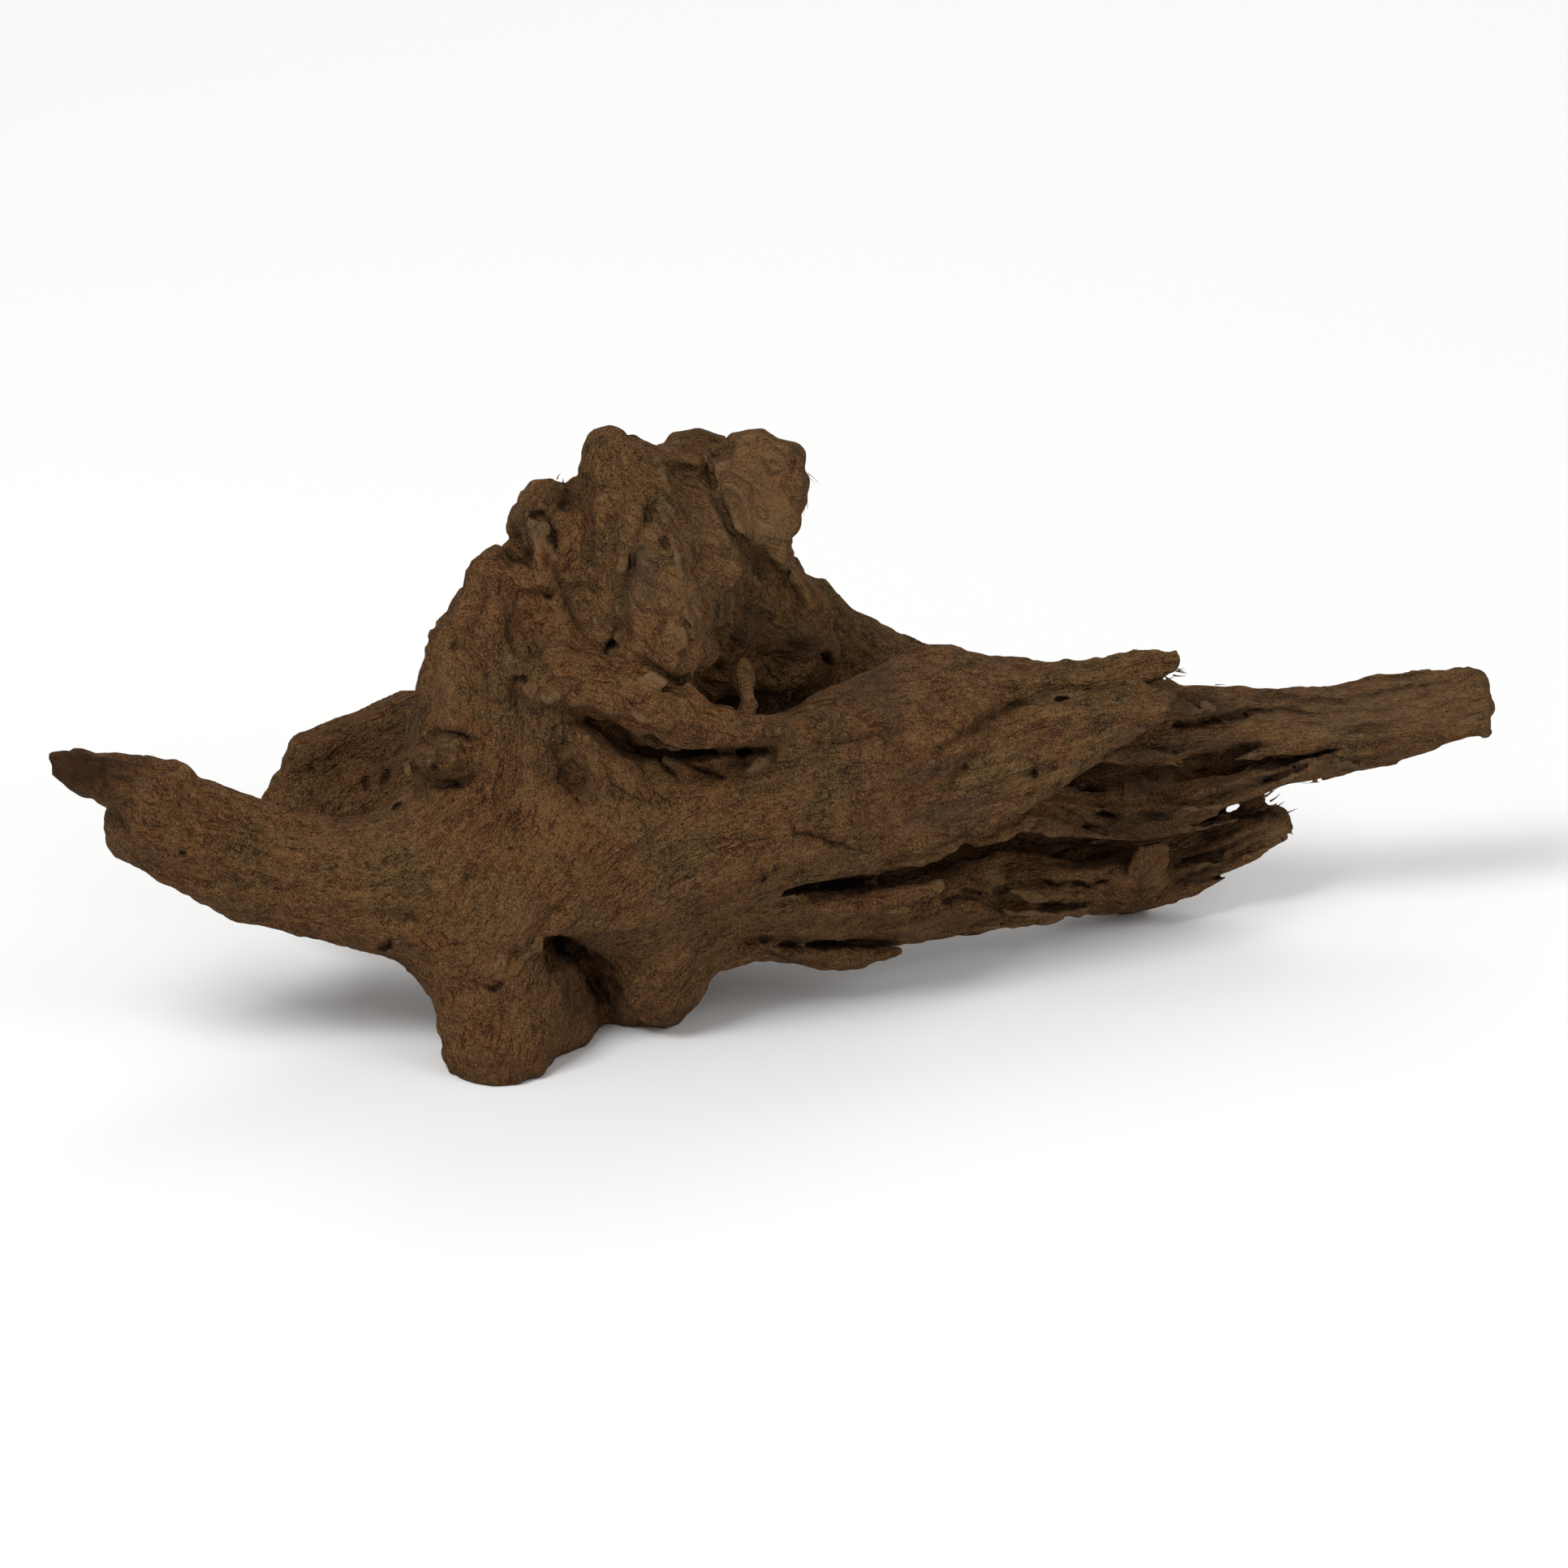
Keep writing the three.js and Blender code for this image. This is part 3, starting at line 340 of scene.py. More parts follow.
        (-66, 36, 24, 9, 9), (-63, 27, 27, 10.5, 11), (-58.5, 18, 33, 10, 11), (-54, 11, 38, 7, 8),
    )),
    Limb("dimple", CUT, 4, 2.0, 0.04, (3, 3), (
        (-66, 86, 20, 2.5, 5), (-57, 84, 20, 5, 9), (-52, 81.5, 21, 3.8, 11), (-46, 84.5, 22, 2, 6),
    )),
    Limb("disc bowl", CUT, 6, 2.0, 0.04, (6, 6), (
        (-88, 96, 66, 12, 10), (-104, 92, 70, 14, 12), (-118, 87, 72, 13, 11), (-129, 83, 72, 9, 8),
    )),
    Limb("eye", CUT, 1, 2.0, 0.08, (2, 1), (
        (-52.2, 171, 52, 2.2, 8), (-53.5, 166, 49.5, 3.4, 6.5), (-55.2, 162, 48.5, 3.2, 8),
        (-57, 159.5, 48, 2.3, 10), (-57.3, 156.5, 49, 1, 5),
    )),
    Limb("shoulder crack", CUT, 1, 1.7, 0.05, (1, 1), (
        (-75, 153, 52, 4, 18), (-70.5, 149, 50, 2.8, 18), (-67, 145, 46, 1.5, 10),
        (-64.5, 142, 44, 0.7, 6), (-62.5, 139.5, 42, 0.4, 3),
    )),
    Limb("valley", CUT, 5, 2.0, 0.04, (6, 6), (
        (-8, 102, 47, 2.5, 9), (-6, 108, 52, 4.2, 11), (-1, 114, 60, 5, 10), (9, 118, 74, 4, 8),
    )),
    Limb("slot", CUT, 1.5, 2.0, 0.04, (2, 2), (
        (-11, 115.5, 40, 1, 6), (-12.5, 120, 42, 2.2, 9), (-14, 126, 46, 1.6, 8),
    )),
)


@dataclass(frozen=True)
class Mark:
    """A line drawn on the side the picture shows: cut in where depth is above 0, raised below 0.

    Points are (right, seen). Half is the line's half width. Dark is how much painted shade it lays along
    the line.
    """

    points: tuple[tuple[float, float], ...]
    half: float
    depth: float
    dark: float = 0.0


@dataclass(frozen=True)
class Patch:
    """A soft oval area of another colour on the side the picture shows: the wood's own colour, or painted
    shade or a painted highlight.

    Centre is (right, seen), radii are half sizes along and across its own long axis, which is
    turned by lean degrees. Dark, pale and grey are amounts from 0 to 1; some dark amounts are painted
    shade and some pale ones a painted highlight.
    """

    centre: tuple[float, float]
    radii: tuple[float, float]
    lean: float = 0.0
    dark: float = 0.0
    pale: float = 0.0
    grey: float = 0.0


MARKS: tuple[Mark, ...] = (
    # Cracks and holes of the fold, the bowl and the layers, with painted shade in them.
    Mark(((-31, 92), (-27, 87), (-25, 84)), 0.8, 1.8, 0.8),
    Mark(((-22, 89), (-17, 87), (-12, 86.5)), 0.9, 1.9, 0.9),
    Mark(((-58, 101), (-55, 100.5), (-51, 101.5)), 0.7, 1.2, 0.7),
    Mark(((129, 104), (133, 104.3), (145, 104.5), (156, 103.5)), 0.8, 1.4, 0.75),
    Mark(((145, 91.5), (152, 92.5), (160, 93.5)), 0.7, 1.2, 0.8),
    Mark(((55, 53), (60, 52.3), (70, 50.2), (80, 49.7), (92, 50.2)), 0.8, 0.6, 0.5),
    Mark(((60, 50.5), (66, 47), (72, 46)), 0.7, 1.3, 0.8),
    Mark(((10, 95), (18, 95), (26, 96.5), (34, 97.5)), 0.6, 0.9, 0.5),
    Mark(((90, 76), (97, 75.5)), 0.9, 1.8, 0.9),
    Mark(((102, 76), (107, 75.5), (112, 74.5)), 0.9, 1.8, 0.9),
    Mark(((78, 78), (84, 76), (90, 72.5)), 0.7, 1.3, 0.7),
    Mark(((-64.3, 157),), 1.1, 2.6, 0.9),
    # The eye: a hollow with a hole at its foot, both filled with painted shade.
    Mark(((-52.5, 170), (-53.5, 166.5), (-54.5, 162), (-55.5, 158.5)), 4.2, 4.0, 0.5),
    Mark(((-56.6, 161.6), (-56.8, 159.2)), 1.9, 3.8, 0.97),
    # Holes, dents and cracks from the arm to the big layer, with painted shade in them.
    Mark(((-97.5, 88.3),), 1.0, 2.2, 0.9),
    Mark(((-92.5, 90), (-92.8, 87.5)), 0.9, 1.9, 0.8),
    Mark(((-108, 38.8), (-105.8, 39.2), (-105, 41)), 0.9, 2.0, 0.9),
    Mark(((-102, 45.5), (-100, 47.5), (-96, 45.5)), 0.9, 1.4, 0.7),
    Mark(((-90, 40), (-83, 40.2)), 0.5, 0.8, 0.7),
    Mark(((-81, 30), (-79, 28), (-76, 27.6), (-72.5, 30.5)), 0.6, 1.0, 0.8),
    Mark(((72.5, 86.5),), 0.9, 2.2, 0.9),
    Mark(((-162.5, 65), (-160, 65.5)), 1.1, 1.3, 0.6),
    Mark(((-180, 75.5), (-177, 72), (-175, 71)), 1.4, 1.3, 0.5),
    Mark(((-109, 83), (-106, 88)), 0.7, 1.4, 0.8),
    Mark(((-113.5, 82), (-112.5, 86)), 1.2, 1.5, 0.7),
    Mark(((-125, 84), (-124.5, 90)), 0.8, -0.7, 0.0),
    Mark(((-92, 84.5), (-87, 84.8), (-82, 86.5)), 0.6, 1.0, 0.6),
    Mark(((-2, 57), (-1.5, 59)), 0.7, 1.4, 0.8),
    Mark(((-8, 40), (-3, 41.8), (3, 41), (10, 40), (20, 40.2)), 0.7, 1.8, 0.8),
    Mark(((-3, 38.5), (3, 36), (9, 33.5)), 0.6, 1.2, 0.6),
    Mark(((-58, 100), (-62, 99)), 0.6, 0.8, 0.5),
    Mark(((80, 95), (85, 97), (90, 99)), 0.9, 0.8, 0.4),
    Mark(((50, 84), (55, 90), (57, 93)), 0.9, 0.8, 0.3),
    Mark(((62, 91), (73, 91.5)), 0.7, 0.7, 0.4),
    # The groove along the paddle's upper edge, with painted shade in it.
    Mark(((44, 92), (54.5, 98), (63, 103.7), (73, 107.6), (88, 110.6), (104, 111)), 1.5, 2.4, 0.45),
    # A crack across the arm's tip, with painted shade in it.
    Mark(((-182, 90), (-183, 85), (-183.5, 80)), 0.8, 1.0, 0.4),
    # The raised chip on the big layer, with painted shadow in the groove under its lower edge.
    Mark(((13, 73), (19, 73.5), (26, 73)), 4.0, -1.0, 0.0),
    Mark(((6, 72.5), (6.3, 69.3), (9, 69.8), (13, 69.8), (18, 68), (22, 66)), 0.8, 1.5, 0.75),
    # The knot at the foot of the arm's wall, ringed by a groove with painted shade in it.
    Mark(((-92.5, 91), (-89, 91.5), (-86, 90.5)), 4.6, -2.6, 0.0),
    Mark(((-99.5, 91), (-97.5, 86.5), (-92, 83.8), (-85, 84.2), (-80, 87.5)), 1.2, 2.4, 0.65),
    Mark(((-97.5, 95), (-92, 98), (-85, 97.5), (-80, 94)), 1.1, 2.0, 0.5),
    Mark(((-93, 93), (-89.5, 94), (-86, 92.5)), 0.7, 1.0, 0.5),
    # The dent beside the knot, between two low ridges, with painted shade in it.
    Mark(((-61, 94), (-57, 90), (-54, 86), (-51.5, 82)), 4.4, 4.0, 0.35),
    Mark(((-64, 100), (-63, 94), (-60, 87), (-55, 80)), 1.6, -1.2, 0.0),
    Mark(((-47, 90), (-44, 84), (-39, 79), (-30, 76)), 1.6, -1.0, 0.0),
    # Long ridges, and grooves with painted shade, on the spike and the layers under it.
    Mark(
        ((122, 107.5), (134, 108.8), (147, 107.8), (160, 107), (179, 111.5), (197, 113)), 0.9, 1.2, 0.55,
    ),
    Mark(((140, 96.5), (150, 98.6), (168, 102), (188, 107.5)), 1.3, -1.1, 0.0),
    Mark(((150, 104.6), (166, 104.4), (184, 108.5)), 0.8, 0.9, 0.45),
    Mark(((158, 97.5), (170, 100), (180, 103.5)), 0.7, 0.9, 0.5),
    Mark(((96, 88.4), (112, 92.2), (128, 96.6), (145, 102.6)), 1.2, -1.0, 0.0),
    Mark(((92, 87), (106, 89.2), (124, 92.2), (140, 95.6)), 1.1, 2.4, 0.9),
    Mark(((100, 100.8), (112, 100), (124, 102.4), (134, 105.2)), 0.9, 1.5, 0.6),
    Mark(((112, 81), (124, 83), (140, 87.5), (152, 91.5)), 1.0, -0.9, 0.0),
    Mark(((108, 78.2), (122, 80), (138, 84.5), (150, 89)), 0.8, 1.2, 0.6),
    Mark(((66, 77), (76, 74.4), (88, 70.8), (98, 69.4)), 1.0, -0.9, 0.0),
    Mark(((52, 64), (62, 70), (72, 77.5), (84, 86)), 1.2, -0.7, 0.0),
    Mark(((46, 70), (56, 77), (66, 84), (80, 92)), 0.9, 0.8, 0.35),
    Mark(((30, 62), (42, 64), (54, 70), (64, 77)), 0.9, 0.7, 0.3),
    Mark(((60, 58), (72, 59.5), (86, 60), (98, 61.5)), 1.0, -0.9, 0.0),
    Mark(((62, 55.5), (74, 56.5), (88, 56), (96, 57.5)), 0.8, 1.5, 0.7),
    Mark(((108, 60), (118, 62.4), (128, 66.6), (140, 72)), 0.9, 1.3, 0.6),
    Mark(((112, 57), (122, 59.6), (132, 64)), 0.8, 1.0, 0.5),
    Mark(((30, 49.3), (42, 51), (56, 52.6), (70, 53.2)), 0.9, 1.4, 0.7),
    Mark(((40, 46.4), (54, 47.6), (68, 47.6), (84, 48)), 1.0, -0.8, 0.0),
    # Ridges and valleys on the crown's face, with painted shade in the valleys.
    Mark(((-40, 177), (-33, 172.5), (-25, 173), (-18, 171)), 1.4, -0.9, 0.0),
    Mark(((-24, 172), (-22.5, 163), (-19, 153)), 5.0, 3.9, 0.42),
    Mark(((-22.8, 166), (-21.5, 160)), 2.2, 2.0, 0.6),
    Mark(((-21, 158), (-17, 146), (-14, 134), (-10, 120)), 4.2, 3.2, 0.3),
    Mark(
        ((-18.6, 174), (-17.4, 167), (-13, 158), (-8.5, 150.5), (-4.5, 146), (1, 144), (5, 143.5)),
        1.5, 3.2, 0.6,
    ),
    Mark(((-34, 170), (-29, 156), (-24, 140), (-21, 122)), 1.3, -1.3, 0.0),
    Mark(((-30, 168), (-37, 150), (-41, 132), (-38, 122)), 1.2, 1.6, 0.35),
    Mark(((-49, 172), (-50.5, 160), (-49, 146), (-45, 132)), 1.3, 1.7, 0.4),
    Mark(((-62, 150), (-57, 138), (-52, 128), (-44, 119)), 1.3, 1.3, 0.3),
    Mark(((-70, 138), (-68, 126), (-62, 114), (-55, 106)), 1.6, 1.2, 0.2),
    Mark(((-45, 150), (-46, 138), (-45, 126)), 2.6, 1.6, 0.1),
    Mark(((-52, 156), (-50, 140), (-52, 126)), 2.5, 1.1, 0.05),
    # Creases with painted shade on the ear and the cheek, and broad low ridges below the crown.
    Mark(((-13, 178), (-16, 174), (-16.5, 168), (-14, 162), (-11, 156), (-8, 152)), 1.1, 0.9, 0.3),
    Mark(((-2, 174), (0, 168.5), (3, 170)), 0.9, 1.3, 0.6),
    Mark(((3, 165.5),), 2.4, 0.9, 0.2),
    Mark(((3, 144), (5, 142), (7, 139)), 0.7, -0.8, 0.0),
    Mark(((-88, 123), (-86, 122)), 1.8, 1.4, 0.6),
    Mark(((-39, 121), (-35, 118.3), (-31, 115.6), (-28, 113.2), (-22, 112.8)), 1.1, 1.6, 0.75),
    Mark(((-52, 80), (-53.5, 78.8)), 1.6, 1.6, 0.7),
    Mark(((-110, 73.5), (-105, 77.5), (-100, 81.5), (-98, 85)), 1.1, -1.0, 0.0),
    Mark(((-100, 60), (-80, 62), (-60, 60)), 3.5, -0.6, 0.0),
    Mark(((-95, 78), (-70, 76), (-45, 74), (-20, 74)), 3.0, -0.6, 0.0),
)

PATCHES: tuple[Patch, ...] = (
    # Some patches are painted shade in hollows and recesses, or a painted highlight, as marked below.
    Patch((-189, 89), (16, 9), 10, dark=1.0),
    Patch((-176, 92.5), (9, 4), 0, dark=0.7),
    Patch((-112, 92), (17, 14), 20, dark=0.35),
    Patch((-100, 104), (6, 8), 0, dark=0.35),
    Patch((8, 124), (7, 5.5), 0, dark=0.4, grey=0.5),
    Patch((-6, 128), (7, 6), -30, dark=0.4, grey=0.4),
    # Painted shade in the recess right of the tongue.
    Patch((-6, 118), (8, 9), 0, dark=0.3),
    Patch((28, 112), (8, 5), 40, dark=0.45, grey=0.3),
    Patch((33, 103), (4, 7), 0, dark=0.35, grey=0.25),
    Patch((21, 108), (4, 3), 0, dark=0.3, grey=0.25),
    Patch((50, 76), (12, 4), 15, grey=0.4, dark=0.15),
    Patch((45, 88), (9, 3), 20, grey=0.35, dark=0.15),
    # Painted shade in the hollow between the two feet, darkest in its upper corner.
    Patch((-53, 30), (8, 13), 0, dark=0.42),
    Patch((-57, 36), (4, 5), 0, dark=0.8),
    # The ear: partly a painted highlight, partly its paler wood.
    Patch((-4, 162), (13, 15), 0, pale=0.42),
    # Painted highlight along the tongue's ridge.
    Patch((-24, 135), (5, 16), 0, pale=0.2),
    Patch((-35, 142), (5, 10), 0, grey=0.35),
    Patch((165, 105), (34, 9), 5, pale=0.5, grey=0.12),
    Patch((192, 107), (9, 9), 0, pale=0.35),
    Patch((120, 106), (9, 5), 0, grey=0.5, dark=0.25),
    Patch((112, 93), (20, 4), 8, grey=0.45, dark=0.1),
    Patch((135, 84), (18, 4), 15, grey=0.3),
    Patch((100, 72), (18, 5), 0, dark=0.45, grey=0.3),
    Patch((120, 64), (9, 7), 25, dark=0.35, grey=0.4),
    Patch((138, 69), (8, 7), 35, pale=0.4),
    Patch((104, 60), (7, 6), 60, pale=0.35),
    # Painted shade in thin strips under the cleft and under the lower plate's edge.
    Patch((80, 63), (16, 3), 0, dark=0.4),
    Patch((35, 46.5), (18, 2), 0, dark=0.35),
    Patch((-90, 106), (5, 14), 0, pale=0.25),
    # Painted shade in the eye's recess.
    Patch((-58, 163), (5, 4), 0, dark=0.6),
    Patch((-22, 178), (9, 5), 0, dark=0.35),
    # Painted shade at the front foot's base, where it meets the floor.
    Patch((-75, 4), (14, 4), 0, dark=0.3),
    # Painted shade in the dent beside the knot.
    Patch((-53, 83), (8, 6), 20, dark=0.4),
)


def place(right: float, seen: float, back: float) -> np.ndarray:
    """Turns a picture position with its depth into a point in millimetres.

    Args:
        right: Distance to the right.
        seen: Height in the picture.
        back: Distance away from the picture's side.

    Returns:
        The point (x, y, z).
    """
    return np.array([right, back, (seen - back * SIGHT_SIN) / SIGHT_COS])


def spline(points: np.ndarray, t: float, run_on: bool) -> np.ndarray:
    """Value of a uniform Catmull-Rom spline through the points.

    Args:
        points: The values it goes through, one row each.
        t: Place along it, from 0 to 1.
        run_on: Whether the first and last values are continued in a straight line.

    Returns:
        The value there.
    """
    last = len(points) - 1
    x = t * last
    i = min(int(x), last - 1)
    u = x - i
    b, c = points[i], points[i + 1]
    a = points[i - 1] if i > 0 else (2 * b - c if run_on else b)
    d = points[i + 2] if i + 2 <= last else (2 * c - b if run_on else c)
    v0, v1 = (c - a) / 2, (d - b) / 2
    return (2 * b - 2 * c + v0 + v1) * u**3 + (-3 * b + 3 * c - 2 * v0 - v1) * u**2 + v0 * u + b


def rounding(reach: float, nose: float) -> float:
    """How much of its full size a ring has near a rounded end.

    Args:
        reach: Distance of the ring from the end.
        nose: Length of the rounding.

    Returns:
        A share from 0 to 1.
    """
    return 1.0 if reach >= nose else math.sqrt(max(0.0, 1 - ((nose - reach) / nose) ** 2))


SCATTER = (374761393, 668265263, 2246822519, 3266489917)
SCRAMBLE = 1274126177
WORD = 0xFFFFFFFF
HALF_WORD = 0xFFFF


def speckle(points: np.ndarray, seed: int) -> np.ndarray:
    """Smooth random values from -1 to 1 on a unit lattice.

    Args:
        points: Places to read, three columns.
        seed: Number that picks the pattern.

    Returns:
        One value for each place.
    """
    cell = np.floor(points).astype(np.int64)
    u = (points - cell).astype(np.float32)
    u = u * u * (3 - 2 * u)
    total = np.zeros(len(points), np.float32)
    for corner in range(8):
        step = np.array([corner & 1, corner >> 1 & 1, corner >> 2 & 1])
        at = cell + step
        mixed = at[:, 0] * SCATTER[0] + at[:, 1] * SCATTER[1] + at[:, 2] * SCATTER[2]
        mixed = (mixed + seed * SCATTER[3]) & WORD
        mixed = ((mixed ^ (mixed >> 13)) * SCRAMBLE) & WORD
        value = ((mixed ^ (mixed >> 16)) & HALF_WORD).astype(np.float32) / (HALF_WORD / 2) - 1
        share = np.where(step == 1, u, 1 - u)
        total += value * share[:, 0] * share[:, 1] * share[:, 2]
    return total


def ramp(values: np.ndarray, low: float, high: float) -> np.ndarray:
    """Smooth step between two values.

    Args:
        values: What is looked at.
        low: Where the step starts, at 0.
        high: Where it ends, at 1.

    Returns:
        One share for each value.
    """
    t = np.clip((values - low) / (high - low), 0, 1)
    return t * t * (3 - 2 * t)


LINE_END = 0.2


def line_profile(at: np.ndarray, mark: Mark) -> np.ndarray:
    """How strongly a mark shows at each place in the picture: 1 on its middle, 0 away from it.

    Args:
        at: Places, two columns.
        mark: The mark, whose line narrows to LINE_END of its width at both ends.

    Returns:
        One share for each place.
    """
    corners = [np.array(p, float) for p in mark.points]
    if len(corners) == 1:
        return np.exp(-(((at - corners[0]) ** 2).sum(1)) / mark.half**2)
    steps = [float(np.linalg.norm(b - a)) for a, b in zip(corners, corners[1:])]
    best = np.full(len(at), FAR)
    share = np.zeros(len(at))
    run = 0.0
    for a, b, step in zip(corners, corners[1:], steps):
        t = np.clip((at - a) @ (b - a) / max(step * step, 1e-9), 0, 1)
        distance = np.linalg.norm(at - a - t[:, None] * (b - a), axis=1)
        closer = distance < best
        best = np.where(closer, distance, best)
        share = np.where(closer, (run + t * step) / sum(steps), share)
        run += step
    taper = LINE_END + (1 - LINE_END) * np.sqrt(np.clip(4 * share * (1 - share), 0, 1))
    return np.exp(-((best / (mark.half * taper)) ** 2)) * taper


@dataclass
class LimbShape:
    """Rings of points round a limb's centre line.

    A wave is its share of the limb's own waviness, its count round the ring, its length along
    the limb in millimetres and the turn that it has from one limb to the next.
    """

    ring_step: float = 5.0
    sides: int = 22
    nose_rings: int = 6
    samples: int = 161
    most_nose: float = 0.4
    least_ring: float = 0.12
    least_half: float = 0.15
    waves: tuple[tuple[float, int, float, float], ...] = (
        (0.9, 2, 17, 1.7), (0.7, 3, -11, 2.9), (0.5, 5, 23, 4.1),
    )

    def centre_line(self, limb: Limb) -> tuple[np.ndarray, np.ndarray, np.ndarray]:
        """Samples the centre line.

        Args:
            limb: The limb.

        Returns:
            Spline places, points there and the distance run up to each.
        """
        corners = np.array([place(*s[:3]) for s in limb.stations])
        fine = np.linspace(0, 1, self.samples)
        line = np.array([spline(corners, t, True) for t in fine])
        run = np.concatenate([[0], np.cumsum(np.linalg.norm(np.diff(line, axis=0), axis=1))])
        return fine, line, run

    def ring_places(self, length: float, first: float, last: float) -> np.ndarray:
        """Spaces the rings, closer together at the two rounded ends.

        Args:
            length: The limb's length.
            first: Length of the rounding at its start.
            last: Length of the rounding at its end.

        Returns:
            Distances of the rings from the start.
        """
        turn = np.linspace(0, math.pi / 2, self.nose_rings)[:-1]
        inner = max(2, round((length - first - last) / self.ring_step))
        start = first * (1 - np.cos(turn))
        end = length - last * (1 - np.cos(turn[::-1]))
        return np.concatenate([start, np.linspace(first, length - last, inner + 1), end])

    def mesh(self, limb: Limb, index: int) -> tuple[np.ndarray, np.ndarray, np.ndarray]:
        """Lofts the limb.

        Args:
            limb: The limb.
            index: Its place in the list, which varies its wave.

        Returns:
            Points in millimetres, the caps' triangles and the sides' quads.
        """
        corners = np.array([place(*s[:3]) for s in limb.stations])
        halves = np.array([s[3:5] for s in limb.stations], float)
        rolls = np.array([[s[5] if len(s) > 5 else 0.0] for s in limb.stations])
        fine, _, run = self.centre_line(limb)
        length = run[-1]
        first, last = (min(nose, length * self.most_nose) for nose in limb.noses)
        turn = np.arange(self.sides) / self.sides * 2 * math.pi
        rings = []
        for distance in self.ring_places(length, first, last):
            t = float(np.interp(distance, run, fine))
            ahead = spline(corners, min(t + 1e-3, 1), True) - spline(corners, max(t - 1e-3, 0), True)
            ahead /= np.linalg.norm(ahead)
            wide = np.cross(ahead, AWAY)
            wide /= np.linalg.norm(wide)
            front = np.cross(ahead, wide)
            roll = math.radians(float(spline(rolls, t, False)[0]))
            u = wide * math.cos(roll) - front * math.sin(roll)
            v = front * math.cos(roll) + wide * math.sin(roll)
            size = min(rounding(distance, first), rounding(length - distance, last))
            a, b = np.maximum(spline(halves, t, False), self.least_half) * max(size, self.least_ring)
            bump = 1 + limb.wave * sum(
                share * np.sin(count * turn + distance / reach + index * shift)
                for share, count, reach, shift in self.waves
            )
            c, s = np.cos(turn), np.sin(turn)
            across = np.sign(c) * np.abs(c) ** (2 / limb.edge) * a * bump
            deep = np.sign(s) * np.abs(s) ** (2 / limb.edge) * b * bump
            rings.append(spline(corners, t, True) + np.outer(across, u) + np.outer(deep, v))
        return self.skin(np.array(rings))

    def skin(self, rings: np.ndarray) -> tuple[np.ndarray, np.ndarray, np.ndarray]:
        """Joins rings with quads and closes the ends with fans of triangles.

        Args:
            rings: The points of every ring.

        Returns:
            All points, the caps' triangles and the sides' quads.
        """
        n, m = rings.shape[:2]
        j = np.arange(m)
        after = (j + 1) % m
        quads = [
            np.stack([i * m + j, i * m + after, (i + 1) * m + after, (i + 1) * m + j], 1)
            for i in range(n - 1)
        ]
        start = np.stack([np.full(m, n * m), after, j], 1)
        end = np.stack([np.full(m, n * m + 1), (n - 1) * m + j, (n - 1) * m + after], 1)
        points = np.vstack([rings.reshape(-1, 3), rings[0].mean(0), rings[-1].mean(0)])
        return points, np.vstack([start, end]), np.vstack(quads)


@dataclass
class Grid:
    """Values at regular places in a box, in millimetres."""

    low: tuple[float, float, float]
    high: tuple[float, float, float]
    step: float
    fill: float
    values: np.ndarray = field(init=False)
    first: np.ndarray = field(init=False)

    def __post_init__(self) -> None:
        """Makes the array."""
        self.first = np.floor(np.array(self.low) / self.step).astype(int)
        shape = np.ceil(np.array(self.high) / self.step).astype(int) - self.first
        self.values = np.full(shape, self.fill, np.float32)

    def points(self, cells: np.ndarray) -> np.ndarray:
        """Places of cells given by their three numbers."""
        return (cells + self.first) * self.step

    def read(self, points: np.ndarray) -> np.ndarray:
        """Values at any places, blended from the eight cells round each.

        Args:
            points: The places, in millimetres.

        Returns:
            One value for each place.
        """
        at = points / self.step - self.first
        at = np.clip(at, 0, np.array(self.values.shape) - 1.001)
        cell = at.astype(int)
        u = (at - cell).astype(np.float32)
        total = np.zeros(len(points), np.float32)
        for corner in range(8):
            dx, dy, dz = corner & 1, corner >> 1 & 1, corner >> 2 & 1
            share = (
                (u[:, 0] if dx else 1 - u[:, 0])
                * (u[:, 1] if dy else 1 - u[:, 1])
                * (u[:, 2] if dz else 1 - u[:, 2])
            )
            total += share * self.values[cell[:, 0] + dx, cell[:, 1] + dy, cell[:, 2] + dz]
        return total


